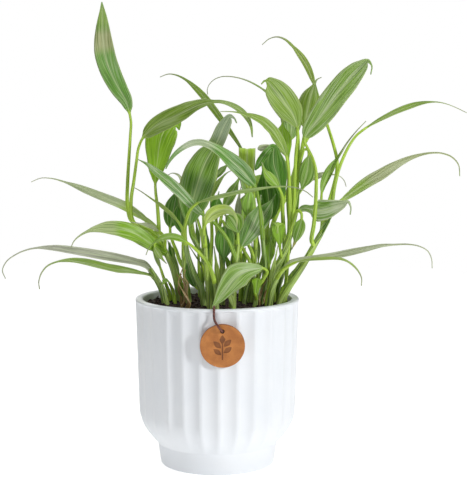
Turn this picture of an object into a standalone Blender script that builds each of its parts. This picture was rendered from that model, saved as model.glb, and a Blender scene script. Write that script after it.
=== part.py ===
# A potted pothos: narrow, silver-streaked leaves on sheathed stalks, standing in dark soil in a
# fluted white ceramic pot, with a round leather tag on a lace over the rim.
# Metres, +Z up. The origin is the middle of the pot's flat underside, and the front faces -Y.

import bisect
import math

import bmesh
import bpy
from mathutils import Vector, noise

MM = 0.001
GAP = 0.3 * MM  # clearance between pieces that touch

# Pot: a straight fluted wall, a shoulder that turns in below it, and a plain foot.
POT_HEIGHT = 0.143
RIM_RADIUS = 0.070
WALL = 0.0063
SHOULDER_RADIUS = 0.0673
SHOULDER_HEIGHT = 0.0464
SHOULDER_EASE = 1.8  # 2 is a parabola, 1 a straight cone
FOOT_HEIGHT = 0.0185
FOOT_RADIUS = 0.0515
BASE_RADIUS = 0.0490
EDGE_ROUND = 0.0014
FLOOR = 0.012  # thickness of the pot's floor
LIP = 0.0018  # plain band above the flutes
FLUTE_END = 0.0012  # height in which a flute runs out below the lip
FLUTES = 28
FLUTE_DEPTH = 0.0015
RIDGE_SHARE = 0.26  # share of a flute's pitch that stays as a flat ridge
FLUTE_TURN = math.radians(1.9)  # how far right of the front the first ridge stands
COLUMNS_PER_FLUTE = 3
CAVITY_STEPS = 36

# Soil: fills the pot to just below its lip.
SOIL_HEIGHT = 0.137
SOIL_MOUND = 0.003
SOIL_LUMP = 0.0011
ROOT_DEPTH = 0.018
HOLE_SIDES = 6

# Tag and lace.
TAG_RADIUS = 0.0182
TAG_THICKNESS = 0.0025
TAG_CENTRE = Vector((0.0050, -0.0727, 0.1143))
TAG_LEAN = math.radians(7)  # its top stands further off the pot
TAG_HOLE_UP = 0.0124  # hole above the tag's centre
TAG_HOLE_RADIUS = 0.0018
LACE_DIAMETER = 0.0020
KNOT_RADIUS = 0.0022

# Leaves.
BLADE_THICKNESS = 0.0007
RIB_THICKNESS = 0.0010
THREAD_HALF = 0.0014, 0.0004  # half the width of a leaf's thread-like tip, at its start and end
THREAD_MOST = 0.4  # of the leaf's own half width, at the thread's start
FOLD = 0.16  # how steeply a blade's halves rise from its rib
SHEATH_RADIUS = 0.0021  # of a leaf stalk where it leaves the stem
STALK_RADIUS = 0.0014  # of a leaf stalk at its blade
FOOT_SWELL, TOP_TAPER = 1.2, 0.8  # of a stem's radius, at the soil and at its top
MOST_LEAN = math.radians(20)  # of a stem inside the soil
BEND_STEP = math.radians(38)  # a piece has a section at least every so much bend

# Leaves are laid out as the eye in front of the pot sees them: x and z in millimetres on the
# plane through the pot's axis, with the depth behind that plane as a third number.
EYE = Vector((0.0139, -1.100, 0.308))

UP = Vector((0.0, -0.45, 1.0))
FRONT = Vector((0.0, -1.0, 0.35))
LEFT = Vector((-0.6, -0.7, 0.4))
RIGHT = Vector((0.6, -0.7, 0.4))


def leaf(at, seen, stalk, blade, depth, face=UP, tip_face=None, tail=0.3, widest=0.4, outline=None):
    """One leaf of a stem. at: where its stalk leaves the stem, as a share of the stem.
    seen: half its width as seen from the front, in mm. stalk, blade: its middle line.
    depth: of the blade's base and tip. face: where its upper face looks, at base and tip.
    tail: share that is the thread-like tip. outline: (share along, half width) for odd shapes."""
    return {
        "at": at, "seen": seen, "stalk": stalk, "blade": blade, "depth": depth,
        "faces": (face, tip_face or face), "tail": tail, "widest": widest, "outline": outline,
    }


SHOOTS = {
    "shoot_left_low": {
        "root": (-43, -13), "radius": 2.4,
        "stem": [(-47.5, 150, -14), (-53, 160, -15), (-57.5, 167, -16)],
        "leaves": [
            leaf(0.9, 3.7, [(-62, 171)],
                 [(-68, 172.8), (-85, 176.4), (-100, 179), (-120, 182.4), (-140, 185.2),
                  (-158, 185), (-172, 180), (-181, 173), (-184, 166), (-181.5, 159)],
                 (-18, -48), tail=0.24, widest=0.46),
            leaf(0.72, 4.2, [(-56, 161)],
                 [(-62, 163.2), (-72, 165.2), (-90, 167.6), (-100, 170), (-112, 172.8), (-125, 174.6),
                  (-138, 173.3), (-146, 169.5), (-151, 163), (-153, 156), (-152.5, 150)],
                 (-24, -92), tail=0.22, widest=0.44),
        ],
    },
    "shoot_left": {
        "root": (-31, 4), "radius": 2.5,
        "stem": [(-33.3, 150, 3), (-35.5, 160, 3), (-38.5, 170, 2), (-43, 180, 0), (-47.5, 189, -2),
                 (-51, 197, -3)],
        "leaves": [
            leaf(0.92, 8.8, [(-58, 201, -4), (-68, 205, -1), (-73.8, 210, 4), (-76.4, 222), (-76.2, 240),
                             (-75, 260), (-73.6, 280), (-73, 294)],
                 [(-73.8, 299), (-76.5, 310), (-82.4, 320), (-89.4, 334), (-94, 348), (-95.6, 360),
                  (-96, 372), (-96, 383), (-96.5, 393)],
                 (10, 34), face=FRONT,
                 outline=[(0, 1.6), (0.06, 3.8), (0.15, 6.2), (0.3, 8.2), (0.45, 9), (0.55, 9), (0.65, 8.2),
                          (0.76, 6.4), (0.86, 4.2), (0.94, 2), (1, 0.5)]),
            leaf(0.86, 6.8, [(-57, 196, -8), (-66, 201.5, -9), (-72, 209, -6), (-73.4, 225, -2),
                             (-70.8, 243), (-68.4, 260), (-66.6, 271)],
                 [(-63.8, 277.8), (-57, 285.4), (-48.6, 291.3), (-40.2, 295.4), (-31.7, 299.4),
                  (-23.2, 303.5), (-14.7, 307.2), (-6.2, 309.3), (2.4, 309.8), (12.8, 306.8),
                  (20.2, 302), (25.4, 296.2), (28.8, 288.8), (29.8, 280)],
                 (2, -58), face=FRONT, tip_face=UP,
                 outline=[(0, 1.5), (0.08, 4.6), (0.16, 6.3), (0.27, 6.8), (0.38, 6.5), (0.46, 5.2),
                          (0.53, 3.5), (0.6, 1.6), (0.64, 1.6), (0.72, 2.3), (0.79, 2.6), (0.86, 2),
                          (0.93, 1), (1, 0.4)]),
            leaf(0.93, 13.2, [(-50, 208, 0), (-51, 222, 2), (-52.3, 233)],
                 [(-52.6, 240), (-52, 250), (-50.4, 262), (-48.6, 275), (-44.5, 286), (-38, 292.5),
                  (-34, 292), (-32, 286)],
                 (6, 26), face=FRONT,
                 outline=[(0, 1.5), (0.08, 3.4), (0.17, 6.4), (0.32, 9.4), (0.45, 11.7), (0.57, 13.2),
                          (0.68, 12.8), (0.78, 9.8), (0.87, 6), (0.94, 2.8), (1, 0.5)]),
            leaf(0.9, 4.5, [(-53, 203, 4), (-58, 207.5, 9)],
                 [(-63, 211), (-71, 216.2), (-80, 221.6), (-90, 225.9), (-100, 229.9), (-110, 234),
                  (-120, 238.3), (-130, 242), (-140, 244.8), (-150, 245.2), (-158, 242)],
                 (14, 66), tail=0.18, widest=0.42),
            leaf(0.74, 6.4, [(-49, 183.5, -9)],
                 [(-54.5, 187.4), (-62, 193), (-70, 197.6), (-80, 200.9), (-90, 202.4),
                  (-100, 202), (-110, 199.8), (-117.4, 196), (-122.2, 191.6), (-125, 186)],
                 (-16, -54), tail=0.1, widest=0.36),
            leaf(0.8, 2.4, [(-45.6, 195.6, -10)],
                 [(-50, 200), (-56, 203.4), (-64, 206), (-73, 207.6)],
                 (-14, -22), tail=0.2),
            leaf(0.84, 2.8, [(-53, 190, -14)],
                 [(-53.5, 186), (-50.5, 180.5), (-47, 176), (-43.5, 172)],
                 (-19, -24), face=FRONT, tail=0.16),
        ],
    },
    "shoot_inner_left": {
        "root": (-24, -8), "radius": 2.3,
        "stem": [(-25.8, 150, -8), (-27.5, 163, -8), (-28.5, 176, -9), (-28.8, 188, -10)],
        "leaves": [
            leaf(0.7, 8.0, [(-31.5, 173, -6), (-35, 183, -3), (-38.5, 192, 0), (-40, 198, 2)],
                 [(-40.2, 202.5), (-39.2, 209), (-37.8, 216), (-36.2, 224), (-34.5, 232), (-32, 241)],
                 (3, 12), face=FRONT, tail=0.08),
            leaf(0.9, 7.0, [(-29.4, 194, -8)],
                 [(-30, 198), (-30.6, 204), (-31, 212), (-30.5, 222), (-29, 231)],
                 (-7, -2), face=FRONT, tail=0.1, widest=0.45),
            leaf(0.93, 1.9, [(-29.4, 201, -14)],
                 [(-33.5, 208), (-38.5, 213.5), (-43.5, 218), (-50, 223.3), (-58, 229), (-65, 234),
                  (-71, 237.4)],
                 (-16, -30), tail=0.26),
        ],
    },
    "shoot_crossing": {
        "root": (-10.5, -23.5), "radius": 2.6,
        "stem": [(-14, 150, -24), (-18.5, 160, -24.5), (-22.5, 170, -25), (-25.7, 180, -25.5),
                 (-27.3, 191, -26)],
        "leaves": [
            leaf(0.93, 2.2, [(-27.6, 201, -31), (-26, 210.5, -39), (-23, 218, -47)],
                 [(-18, 223.2), (-9, 227), (0, 229.4), (10, 231.8), (20, 234), (30, 235.4),
                  (40, 236.9), (50, 238), (60, 238), (70, 236.2), (76, 233.5), (81.5, 229)],
                 (-51, -84), tail=0.22, widest=0.35),
            leaf(0.42, 4.2, [],
                 [(-18, 151.5), (-21.6, 158), (-24, 166), (-24.6, 175), (-24, 183)],
                 (-22, -19), face=FRONT, tail=0.12, widest=0.4),
        ],
    },
    "shoot_front_left": {
        "root": (-6, -33), "radius": 2.1,
        "stem": [(-8, 150, -33), (-9, 160, -33), (-9.6, 172, -33), (-10.2, 185, -35), (-11, 197, -39)],
        "leaves": [
            leaf(0.93, 5.0, [(-11, 203, -42)],
                 [(-9.8, 206.5), (-7, 211.5), (-2.5, 215.7), (3.5, 218), (9, 218), (14, 215),
                  (16.6, 209.5), (16.8, 203)],
                 (-44, -64), face=FRONT, tail=0.08, widest=0.34),
        ],
    },
    "shoot_front": {
        "root": (0, -43), "radius": 2.0,
        "stem": [(-1.2, 149, -43), (-2.8, 158, -44), (-5.2, 166, -45)],
        "leaves": [
            leaf(0.9, 2.9, [(-8.5, 173, -47), (-14, 179.8, -49), (-20, 185.8, -50)],
                 [(-26, 190.2), (-33, 193.6), (-40, 195), (-47, 193.8), (-53, 190.5), (-58, 186),
                  (-61, 179.5)],
                 (-50, -46), tail=0.16),
        ],
    },
    "shoot_middle_left": {
        "root": (-4, -14), "radius": 2.2,
        "stem": [(-5, 150, -14), (-7, 163, -14), (-11, 175, -14), (-15.6, 184.5, -14), (-20, 192, -14)],
        "leaves": [
            leaf(0.93, 14.4, [(-22.6, 197.5, -14)],
                 [(-23.4, 203), (-22.8, 212), (-21, 224), (-18, 236), (-14.4, 247.5), (-10.2, 258),
                  (-5, 267.5), (0.5, 277), (4.5, 286), (8.2, 293), (11.4, 297.4), (14.2, 296.2),
                  (16.6, 291.8)],
                 (-15, -4), face=FRONT,
                 outline=[(0, 1.6), (0.08, 6), (0.2, 12), (0.3, 13.4), (0.42, 13.2), (0.5, 11.6),
                          (0.58, 9.4), (0.66, 6), (0.8, 5.6), (0.88, 4), (0.92, 2.2), (0.95, 0.9),
                          (1, 0.5)]),
            leaf(0.88, 3.4, [(-21, 203, 4)],
                 [(-22, 214), (-24, 226), (-26.6, 236), (-30, 244), (-34, 248.4), (-38.5, 249.4),
                  (-43, 247)],
                 (10, 34), tail=0.12),
            leaf(0.5, 2.2, [(-5.5, 176, -8), (-4.5, 195, -2), (-5, 215, 3)],
                 [(-4.4, 229), (-1.6, 237), (3, 244), (8, 249.4), (13, 252.2)],
                 (6, 12), tail=0.14),
        ],
    },
    "shoot_middle_dark": {
        "root": (4, -23), "radius": 2.1,
        "stem": [(4.2, 150, -23), (4.3, 162, -22), (3.6, 175, -21), (2.2, 188, -19), (1.2, 199, -17)],
        "leaves": [
            leaf(0.92, 8.4, [(2.2, 206, -18.5), (4.6, 208.5, -21)],
                 [(6.2, 205), (6.6, 197), (6.2, 188), (5.8, 178), (6.4, 168)],
                 (-24, -27), face=FRONT, tail=0.08, widest=0.36),
            leaf(0.88, 4.6, [(2.6, 207, -12), (3.8, 213.5, -8)],
                 [(5.6, 219), (9.3, 226.4), (13.5, 234.8), (17.6, 242.8), (21.2, 249.8)],
                 (-6, 5), face=FRONT, tail=0.1),
            leaf(0.8, 5.4, [(-0.4, 201, -10)],
                 [(-1.2, 209), (-1, 216), (-0.4, 223), (0.6, 229), (1.6, 234)],
                 (-5, -1), face=FRONT, tail=0.1, widest=0.5),
        ],
    },
    "shoot_middle": {
        "root": (13, -33), "radius": 2.7,
        "stem": [(13.6, 150, -33), (15, 163, -34), (16.8, 176, -34), (17.6, 188, -34)],
        "leaves": [
            leaf(0.78, 4.5, [(12.8, 185, -37), (8.4, 193.5, -37.5), (2.5, 201.5, -37), (-5, 208.8, -36)],
                 [(-12, 213.8), (-18, 219), (-25, 226.2), (-32, 233.5), (-40, 240.8), (-48, 247.4),
                  (-55, 253), (-61, 257.8), (-67, 261)],
                 (-35, -48), face=FRONT, tip_face=UP,
                 outline=[(0, 2), (0.1, 3.4), (0.25, 4.8), (0.45, 5.4), (0.65, 5.1), (0.82, 3.6),
                          (0.93, 1.4), (1, 0.5)]),
            leaf(0.93, 8.4, [(17.7, 193, -34)],
                 [(17.7, 197.5), (16.6, 203), (14, 208.5), (10.2, 212.6), (6, 213.6)],
                 (-33, -28), face=FRONT, tail=0.08, widest=0.55),
            leaf(0.88, 8.6, [],
                 [(20.5, 185.6), (24.6, 193.6), (29.4, 203), (33.4, 212.5), (36.2, 222), (37.4, 231)],
                 (-30, -24), face=FRONT, tail=0.08, widest=0.45),
        ],
    },
    "shoot_front_right": {
        "root": (32, -24), "radius": 1.9,
        "stem": [(34.6, 150, -25), (38, 156.5, -26), (41, 161.5, -27.5)],
        "leaves": [
            leaf(0.93, 10.8, [(42.6, 165.3, -29)],
                 [(39.5, 168), (33, 167.4), (26, 166), (19.4, 163.2), (13.2, 157.6), (7, 149.8),
                  (1.4, 141.6), (-2, 137), (-4.4, 134)],
                 (-31, -59), face=FRONT,
                 outline=[(0, 1.6), (0.08, 3.6), (0.22, 6.6), (0.34, 9.6), (0.42, 10.8), (0.5, 9.8),
                          (0.65, 7.2), (0.8, 4.4), (0.92, 1.8), (1, 0.6)]),
            leaf(0.5, 4.8, [],
                 [(32.8, 146), (33.4, 150.5), (33.9, 155), (34.2, 159.5)],
                 (-32, -31), face=FRONT,
                 outline=[(0, 1.6), (0.5, 3), (0.85, 4.8), (0.95, 3.6), (1, 0.8)]),
        ],
    },
    "shoot_thin": {
        "root": (23, -17), "radius": 2.0,
        "stem": [(25, 149, -17), (27.4, 160, -17), (28.8, 168, -17)],
        "leaves": [
            leaf(0.93, 2.9, [(27.6, 174.5, -17), (24, 181, -16), (20.6, 188, -15)],
                 [(18.4, 198), (17.8, 208), (17.9, 219), (18.6, 229), (20.6, 238.5)],
                 (-14, -10), face=FRONT, tail=0.1, widest=0.5),
            leaf(0.88, 6.0, [(31, 174, -14), (29.4, 182.5, -12), (26, 189.5, -10), (23.4, 199, -7)],
                 [(22.4, 207), (22.6, 217), (24, 227), (26.4, 237)],
                 (-5, 1), face=FRONT, tail=0.1, widest=0.5),
        ],
    },
    "shoot_centre": {
        "root": (28, -6), "radius": 2.0,
        "stem": [(29, 150, -6), (30.6, 162, -6), (32, 174, -6), (32.6, 186, -6), (33, 198, -6)],
        "leaves": [
            leaf(0.9, 7.2, [(31.6, 208, 0), (28.4, 222, 5)],
                 [(26.6, 235), (25.8, 247), (25.4, 258), (25.4, 266), (25.4, 270, 15),
                  (25.4, 268.4, 21), (25.4, 261, 25)],
                 (9, 26), face=FRONT,
                 outline=[(0, 1.6), (0.25, 5.5), (0.5, 7), (0.7, 7.2), (0.85, 5.5), (0.95, 2.5),
                          (1, 0.8)]),
            leaf(0.92, 5.8, [(32.4, 208, -7), (31.4, 224, -8), (30.4, 236, -9), (29.6, 241, -12),
                             (28.8, 240.4, -16)],
                 [(28.2, 236), (27.4, 230), (26.4, 222), (25.8, 214), (25.6, 207)],
                 (-17.5, -19), face=FRONT, tail=0.1, widest=0.5),
        ],
    },
    "shoot_centre_front": {
        "root": (38, -14), "radius": 2.0,
        "stem": [(40.4, 150, -15), (41.2, 162, -18), (40.2, 178, -24), (38.8, 193, -30), (38, 205, -34)],
        "leaves": [
            leaf(0.93, 5.8, [(36.9, 216, -36), (35.2, 228, -37)],
                 [(33, 237), (27.4, 244.5), (20.4, 252.6), (12, 260), (6, 265), (0, 269.4),
                  (-8, 273.5), (-15, 275.3), (-21, 274.7), (-27, 272), (-32, 268.6), (-37, 264),
                  (-41, 258.6), (-43.6, 253)],
                 (-38, -76), face=FRONT, tip_face=UP,
                 outline=[(0, 1.4), (0.07, 3.8), (0.15, 5.6), (0.25, 5.8), (0.36, 5), (0.48, 3.7),
                          (0.57, 3), (0.68, 2.8), (0.78, 2.3), (0.88, 1.6), (0.95, 0.9), (1, 0.4)]),
        ],
    },
    "shoot_centre_back": {
        "root": (38, 8), "radius": 2.3,
        "stem": [(39.6, 152, 8), (41.2, 170, 9), (42.4, 188, 10), (43, 202, 11)],
        "leaves": [
            leaf(0.93, 10.4, [(43.2, 205, 12)],
                 [(43.8, 208.5), (44.4, 216), (43.9, 226), (42.4, 237), (40.2, 248), (37.6, 257)],
                 (14, 19), face=FRONT, tail=0, widest=0.42),
            leaf(0.85, 3.2, [(41, 206, 18), (36.5, 230, 26)],
                 [(31.5, 247), (25, 261), (19.5, 272), (12, 283.5), (4, 294.5), (-3, 304),
                  (-10, 313), (-18, 321.3), (-26, 328), (-34, 332), (-41, 333), (-48, 330.5)],
                 (32, 84), face=LEFT, tail=0.1, widest=0.62),
            leaf(0.6, 3.8, [(44.6, 172, 4)],
                 [(45.6, 178), (46.4, 186), (46.6, 195), (45.6, 204)],
                 (2, -3), face=FRONT, tail=0.1, widest=0.5),
        ],
    },
    "shoot_right_inner": {
        "root": (45.5, -4), "radius": 2.5,
        "stem": [(47, 152, -6), (50, 167, -7), (55, 177, -7.5), (58.6, 185.5, -8), (61.2, 195, -8),
                 (63, 205, -8)],
        "leaves": [
            leaf(0.93, 11.2, [(64.8, 220, -8), (66, 245, -8), (67, 268, -9), (68.2, 281)],
                 [(68, 287), (65.2, 296.6), (59.6, 305.6), (53.6, 313.6), (47.5, 321), (42.8, 326.4),
                  (40, 327.2), (37.5, 324.6)],
                 (-12, -44), face=FRONT,
                 outline=[(0, 1.5), (0.1, 5), (0.28, 10.2), (0.48, 11.2), (0.68, 9), (0.82, 4.2),
                          (0.88, 1), (1, 0.5)]),
            leaf(0.88, 4.2, [(62, 215, -14), (61.6, 235, -18), (60.8, 252, -20)],
                 [(59, 263), (55.5, 272), (50.4, 280.6), (44.6, 288), (37.4, 293.6), (29, 297.4),
                  (20, 300.2), (12, 301.4), (3, 301.6)],
                 (-22, -86), face=FRONT, tip_face=UP, tail=0.08, widest=0.4),
            leaf(0.84, 7.2, [(61.5, 212, 0), (61, 235, 4), (60.8, 254, 6)],
                 [(60, 262), (57.5, 271), (55.5, 280), (55, 289), (56.5, 297)],
                 (8, 14), face=FRONT, tail=0.1, widest=0.5),
            leaf(0.92, 2.0, [(65.2, 225, 4), (67.5, 255, 12), (69, 276, 18)],
                 [(67, 290), (62, 300), (55.5, 308.5), (48.5, 314), (42.5, 317.6), (36, 322),
                  (28, 326.4), (20, 329.3), (10, 331), (3, 330.6), (-3, 328), (-7, 323.5),
                  (-8.3, 319), (-7.8, 316)],
                 (26, 76), face=FRONT, tip_face=UP, tail=0.45, widest=0.3),
            leaf(0.86, 9.4, [(65, 215, 8), (68.6, 245, 12), (72, 272, 12)],
                 [(74.5, 286), (76, 299), (78.2, 310.5), (81, 320), (84.3, 328.4), (88, 330.2)],
                 (12, 30), face=FRONT, tail=0.1, widest=0.45),
            leaf(0.93, 7.2, [(66, 222, 2), (69.2, 246, 4), (72, 264, 4.5), (74.4, 269.6, 4),
                             (76.8, 269.4, 3.5)],
                 [(77.8, 265), (77.6, 258), (76.4, 250), (73.8, 241), (69.5, 231.5)],
                 (3, -2), face=FRONT, tail=0.06, widest=0.45),
            leaf(0.9, 5.0, [(65, 208, -14), (66.6, 214.6, -17), (69.2, 217.6, -20),
                             (71.6, 215.4, -22)],
                 [(72, 210.4), (70.6, 204.2), (68.4, 197.4), (66.2, 190), (63.6, 184)],
                 (-23, -25), face=FRONT, tail=0.1, widest=0.35),
            leaf(0.66, 6.0, [(54.6, 180, -13)],
                 [(53.6, 185.4), (53.1, 192), (52.4, 199), (51.9, 204, -18), (51.6, 207, -21),
                  (51.5, 205.4, -25), (51.2, 198, -27)],
                 (-15, -27), face=FRONT, tail=0.06, widest=0.55),
            leaf(0.86, 3.2, [(64.6, 216, 2), (67, 227.6, 9), (73, 237, 17)],
                 [(79, 242.8), (84, 245.9), (90, 248), (98, 248.3), (104, 247), (108, 243),
                  (109.7, 238)],
                 (24, 56), tail=0.36),
            leaf(0.93, 9.6, [(65.4, 211.6, -3)],
                 [(69, 217), (74.6, 219.6), (80, 218.6), (85.5, 217.4), (92, 218.2), (100, 220.6),
                  (107, 223), (111.4, 225), (113.8, 220.6), (113.4, 214)],
                 (0, -9), face=FRONT,
                 outline=[(0, 1.6), (0.1, 2.8), (0.2, 3.2), (0.26, 6.4), (0.32, 9.4), (0.42, 8.6),
                          (0.57, 6.2), (0.7, 3.6), (0.79, 1.4), (0.88, 0.7), (1, 0.5)]),
        ],
    },
    "shoot_right_back": {
        "root": (50, 8), "radius": 2.3,
        "stem": [(52, 151, 7), (55.5, 163, 6), (57.6, 175, 4), (57.6, 188, 2), (56.6, 200, 1)],
        "leaves": [
            leaf(0.93, 10.6, [(55.6, 213, -1)],
                 [(55.2, 226), (54.2, 237), (51, 248), (48.2, 257), (47.8, 264.6), (48, 269.6, -5.5),
                  (46, 271, -10), (41.6, 266.6, -13), (36.8, 259.8, -15), (32.4, 252, -17)],
                 (-3, -17), face=FRONT,
                 outline=[(0, 1.5), (0.15, 4.5), (0.32, 9.6), (0.42, 10.6), (0.52, 8), (0.62, 4),
                          (0.7, 2.8), (0.78, 3.2), (0.88, 3.2), (0.95, 2.2), (1, 0.6)]),
            leaf(0.9, 4.2, [(56, 216, -12), (55.4, 230, -17)],
                 [(52.4, 237), (46.6, 243.6), (41, 250), (37.8, 259)],
                 (-21, -30), face=FRONT, tail=0.1, widest=0.4),
            leaf(0.86, 2.9, [(55.8, 214, 0), (55.2, 234, -1), (53.8, 251, -2)],
                 [(52.2, 260.5), (49.6, 267), (45, 270.4), (40, 271), (34.4, 270)],
                 (-3, -6), face=FRONT,
                 outline=[(0, 1.2), (0.3, 2.2), (0.6, 2.9), (0.9, 2.7), (0.97, 2), (1, 0.8)]),
        ],
    },
    "shoot_right_low": {
        "root": (44, -25), "radius": 2.3,
        "stem": [(47, 150, -26), (50.6, 158, -27), (54.6, 164.6, -28), (58.4, 169.4, -29)],
        "leaves": [
            leaf(0.92, 2.7, [(63, 173.6, -30)],
                 [(68, 175), (76, 176), (88, 177.2), (100, 178.6), (110, 180.5), (120, 182.6),
                  (130, 184.8), (140, 187.2), (152, 188.3), (164, 188.5), (173, 186.8),
                  (180, 182.8), (183.4, 176), (184, 168)],
                 (-30, -56), tail=0.22, widest=0.42),
            leaf(0.76, 1.8, [(54, 164, -33), (60, 169.4, -36)],
                 [(66, 172.6), (74, 174.8), (82, 175.8), (90, 176.2), (100, 176.4), (107, 175.6),
                  (113, 173), (118.5, 168.3), (122, 163.5), (123.7, 159), (123.5, 153)],
                 (-38, -100), tail=0.2),
        ],
    },
    "shoot_right": {
        "root": (53.5, -11), "radius": 2.7,
        "stem": [(60.5, 151, -10), (66.4, 160, -9), (73, 170.4, -7), (78.6, 180, -5), (84, 190, -3),
                 (89.6, 200, 0), (94.6, 209, 2)],
        "leaves": [
            leaf(0.74, 10.2, [(80.6, 192, -9), (82.4, 205, -14), (84.2, 235, -16), (83.8, 252, -14),
                              (80.6, 263, -10), (76.6, 271, -7)],
                 [(74, 277), (77.4, 284.4), (84, 293.2), (91.4, 303.2), (98.9, 313.6), (106.4, 322.9),
                  (114, 331.8), (121.6, 339.2), (127.4, 343.6), (130.2, 340.4), (129.6, 332.6)],
                 (-6, -20), face=FRONT,
                 outline=[(0, 1.5), (0.05, 4.4), (0.12, 7.2), (0.22, 9), (0.4, 10.2), (0.6, 9.8),
                          (0.74, 7.8), (0.83, 4.6), (0.88, 1.6), (0.92, 0.7), (1, 0.5)]),
            leaf(0.93, 4.8, [(98.4, 220, 6)],
                 [(103.8, 225.2), (109, 228.2), (115.5, 232.9), (122.1, 237.8), (130, 243.1), (139.2, 248.3),
                  (147.8, 253.8), (156.3, 258.7), (165, 262.6), (173.4, 265.2), (182, 266.6), (191, 266.2),
                  (199.6, 262.8), (205, 256.4), (206.2, 247)],
                 (8, 46), face=FRONT, tip_face=UP,
                 outline=[(0, 1.4), (0.08, 2.8), (0.18, 4.3), (0.29, 4.8), (0.38, 4.4), (0.49, 3.1),
                          (0.57, 2.1), (0.65, 1.3), (0.75, 1), (0.86, 1.3), (0.94, 1), (1, 0.4)]),
            leaf(0.9, 3.3, [(97.6, 223, 10), (99.8, 238, 14), (103, 251.5, 17), (107.5, 263.5, 20),
                            (112.5, 273.6, 22), (118.5, 281.8)],
                 [(124.5, 286.6), (132, 291.3), (141, 296.2), (150, 300.6), (160, 304.7), (169, 307.7),
                  (178, 309.4), (187, 309.4), (195, 307.6), (203, 304.4), (211, 300.6)],
                 (26, 92), tail=0.2, widest=0.5),
            leaf(0.86, 3.8, [(89.6, 211, 11), (88.8, 222, 15)],
                 [(88.8, 230), (90, 240), (94, 249.4), (99, 257.6), (104.5, 266), (110.5, 275.6),
                  (117.5, 284.5), (126, 293.5)],
                 (17, 34), face=RIGHT, tail=0.45, widest=0.45),
            leaf(0.88, 3.2, [(94.6, 222, 20), (98.8, 237, 24), (101.6, 250, 28), (101.8, 260, 30),
                             (99.4, 271, 32), (96.2, 281.4, 34), (92.6, 292, 36), (89, 303, 38),
                             (86, 313)],
                 [(83, 321.5), (80.3, 330), (77, 338), (73, 345), (68, 351.5), (62.5, 357.5),
                  (57, 362), (50.5, 364), (44, 362.4), (38, 357.5)],
                 (42, 86), face=LEFT, tail=0.3, widest=0.4),
        ],
    },
    "shoot_back_left": {
        "root": (-14, 24), "radius": 2.0,
        "stem": [(-13, 158, 25), (-12, 178, 29), (-11.5, 194, 34)],
        "leaves": [
            leaf(0.92, 9.6, [(-11.5, 208, 42)],
                 [(-12.5, 222), (-14, 238), (-15, 250, 80), (-15, 258, 100), (-14, 260, 120),
                  (-13, 254, 138)],
                 (52, 146), tail=0.24),
            leaf(0.84, 7.4, [(-14, 200, 50)],
                 [(-17.5, 212), (-21, 224, 82), (-23, 233, 102), (-22.6, 236, 122), (-21, 230, 138)],
                 (64, 144), tail=0.22),
        ],
    },
    "shoot_back": {
        "root": (10, 36), "radius": 2.1,
        "stem": [(11, 160, 38), (14, 180, 42), (18, 198, 47)],
        "leaves": [
            leaf(0.92, 9.6, [(24, 212, 58)],
                 [(29, 226), (34, 238, 88), (39, 246, 108), (43, 248, 128), (45, 242, 144)],
                 (70, 152), tail=0.22),
            leaf(0.86, 6.8, [(22, 212, 54)],
                 [(24.5, 230), (25.4, 246, 78), (25, 257, 96), (24.6, 263, 116), (24.6, 261, 134)],
                 (62, 148), tail=0.22),
            leaf(0.72, 5.2, [(11, 186, 54)],
                 [(8.5, 193), (6.5, 195.5, 84), (6, 191, 104), (7, 182, 120), (8.4, 171, 130)],
                 (64, 132), tail=0.16),
        ],
    },
    "shoot_back_right": {
        "root": (31, 30), "radius": 2.1,
        "stem": [(35, 160, 32), (41, 182, 35), (47, 204, 37), (52, 222, 38)],
        "leaves": [
            leaf(0.92, 9.8, [(56.5, 242, 42), (60, 262, 46)],
                 [(62, 276), (63, 290, 62), (62, 301, 78), (59, 310, 96), (56, 314, 114),
                  (54, 310, 130)],
                 (52, 140), tail=0.22),
            leaf(0.86, 6.8, [(60, 230, 50)],
                 [(67, 242), (73, 252, 80), (76, 257, 100), (77, 256, 120), (77, 248, 136)],
                 (62, 144), tail=0.22),
            leaf(0.8, 7.8, [(62, 240, 42), (71, 268, 46)],
                 [(80, 284), (88, 298, 58), (97, 311, 72), (105, 320, 90), (111, 325, 110),
                  (115, 325, 126)],
                 (50, 138), tail=0.22),
        ],
    },
}


def seen_point(x, z, depth):
    """The point at this depth that the eye sees at (x, z) on the plane through the pot's axis."""
    on_plane = Vector((x * MM, 0, z * MM))
    return EYE + (on_plane - EYE) * (1 + depth * MM / -EYE.y)


def seen_line(points, first, last):
    """Points (x, z) or (x, z, depth) as places in space; depths that aren't given run evenly."""
    known = {i: p[2] for i, p in enumerate(points) if len(p) == 3}
    known.setdefault(0, first)
    known.setdefault(len(points) - 1, last)
    keys = sorted(known)
    line = []
    for i, point in enumerate(points):
        k = min(bisect.bisect_right(keys, i), len(keys) - 1)
        low, high = keys[k - 1], keys[k]
        share = (i - low) / (high - low) if high > low else 0
        depth = known[low] + (known[high] - known[low]) * min(max(share, 0), 1)
        line.append(seen_point(point[0], point[1], depth))
    return line


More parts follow.
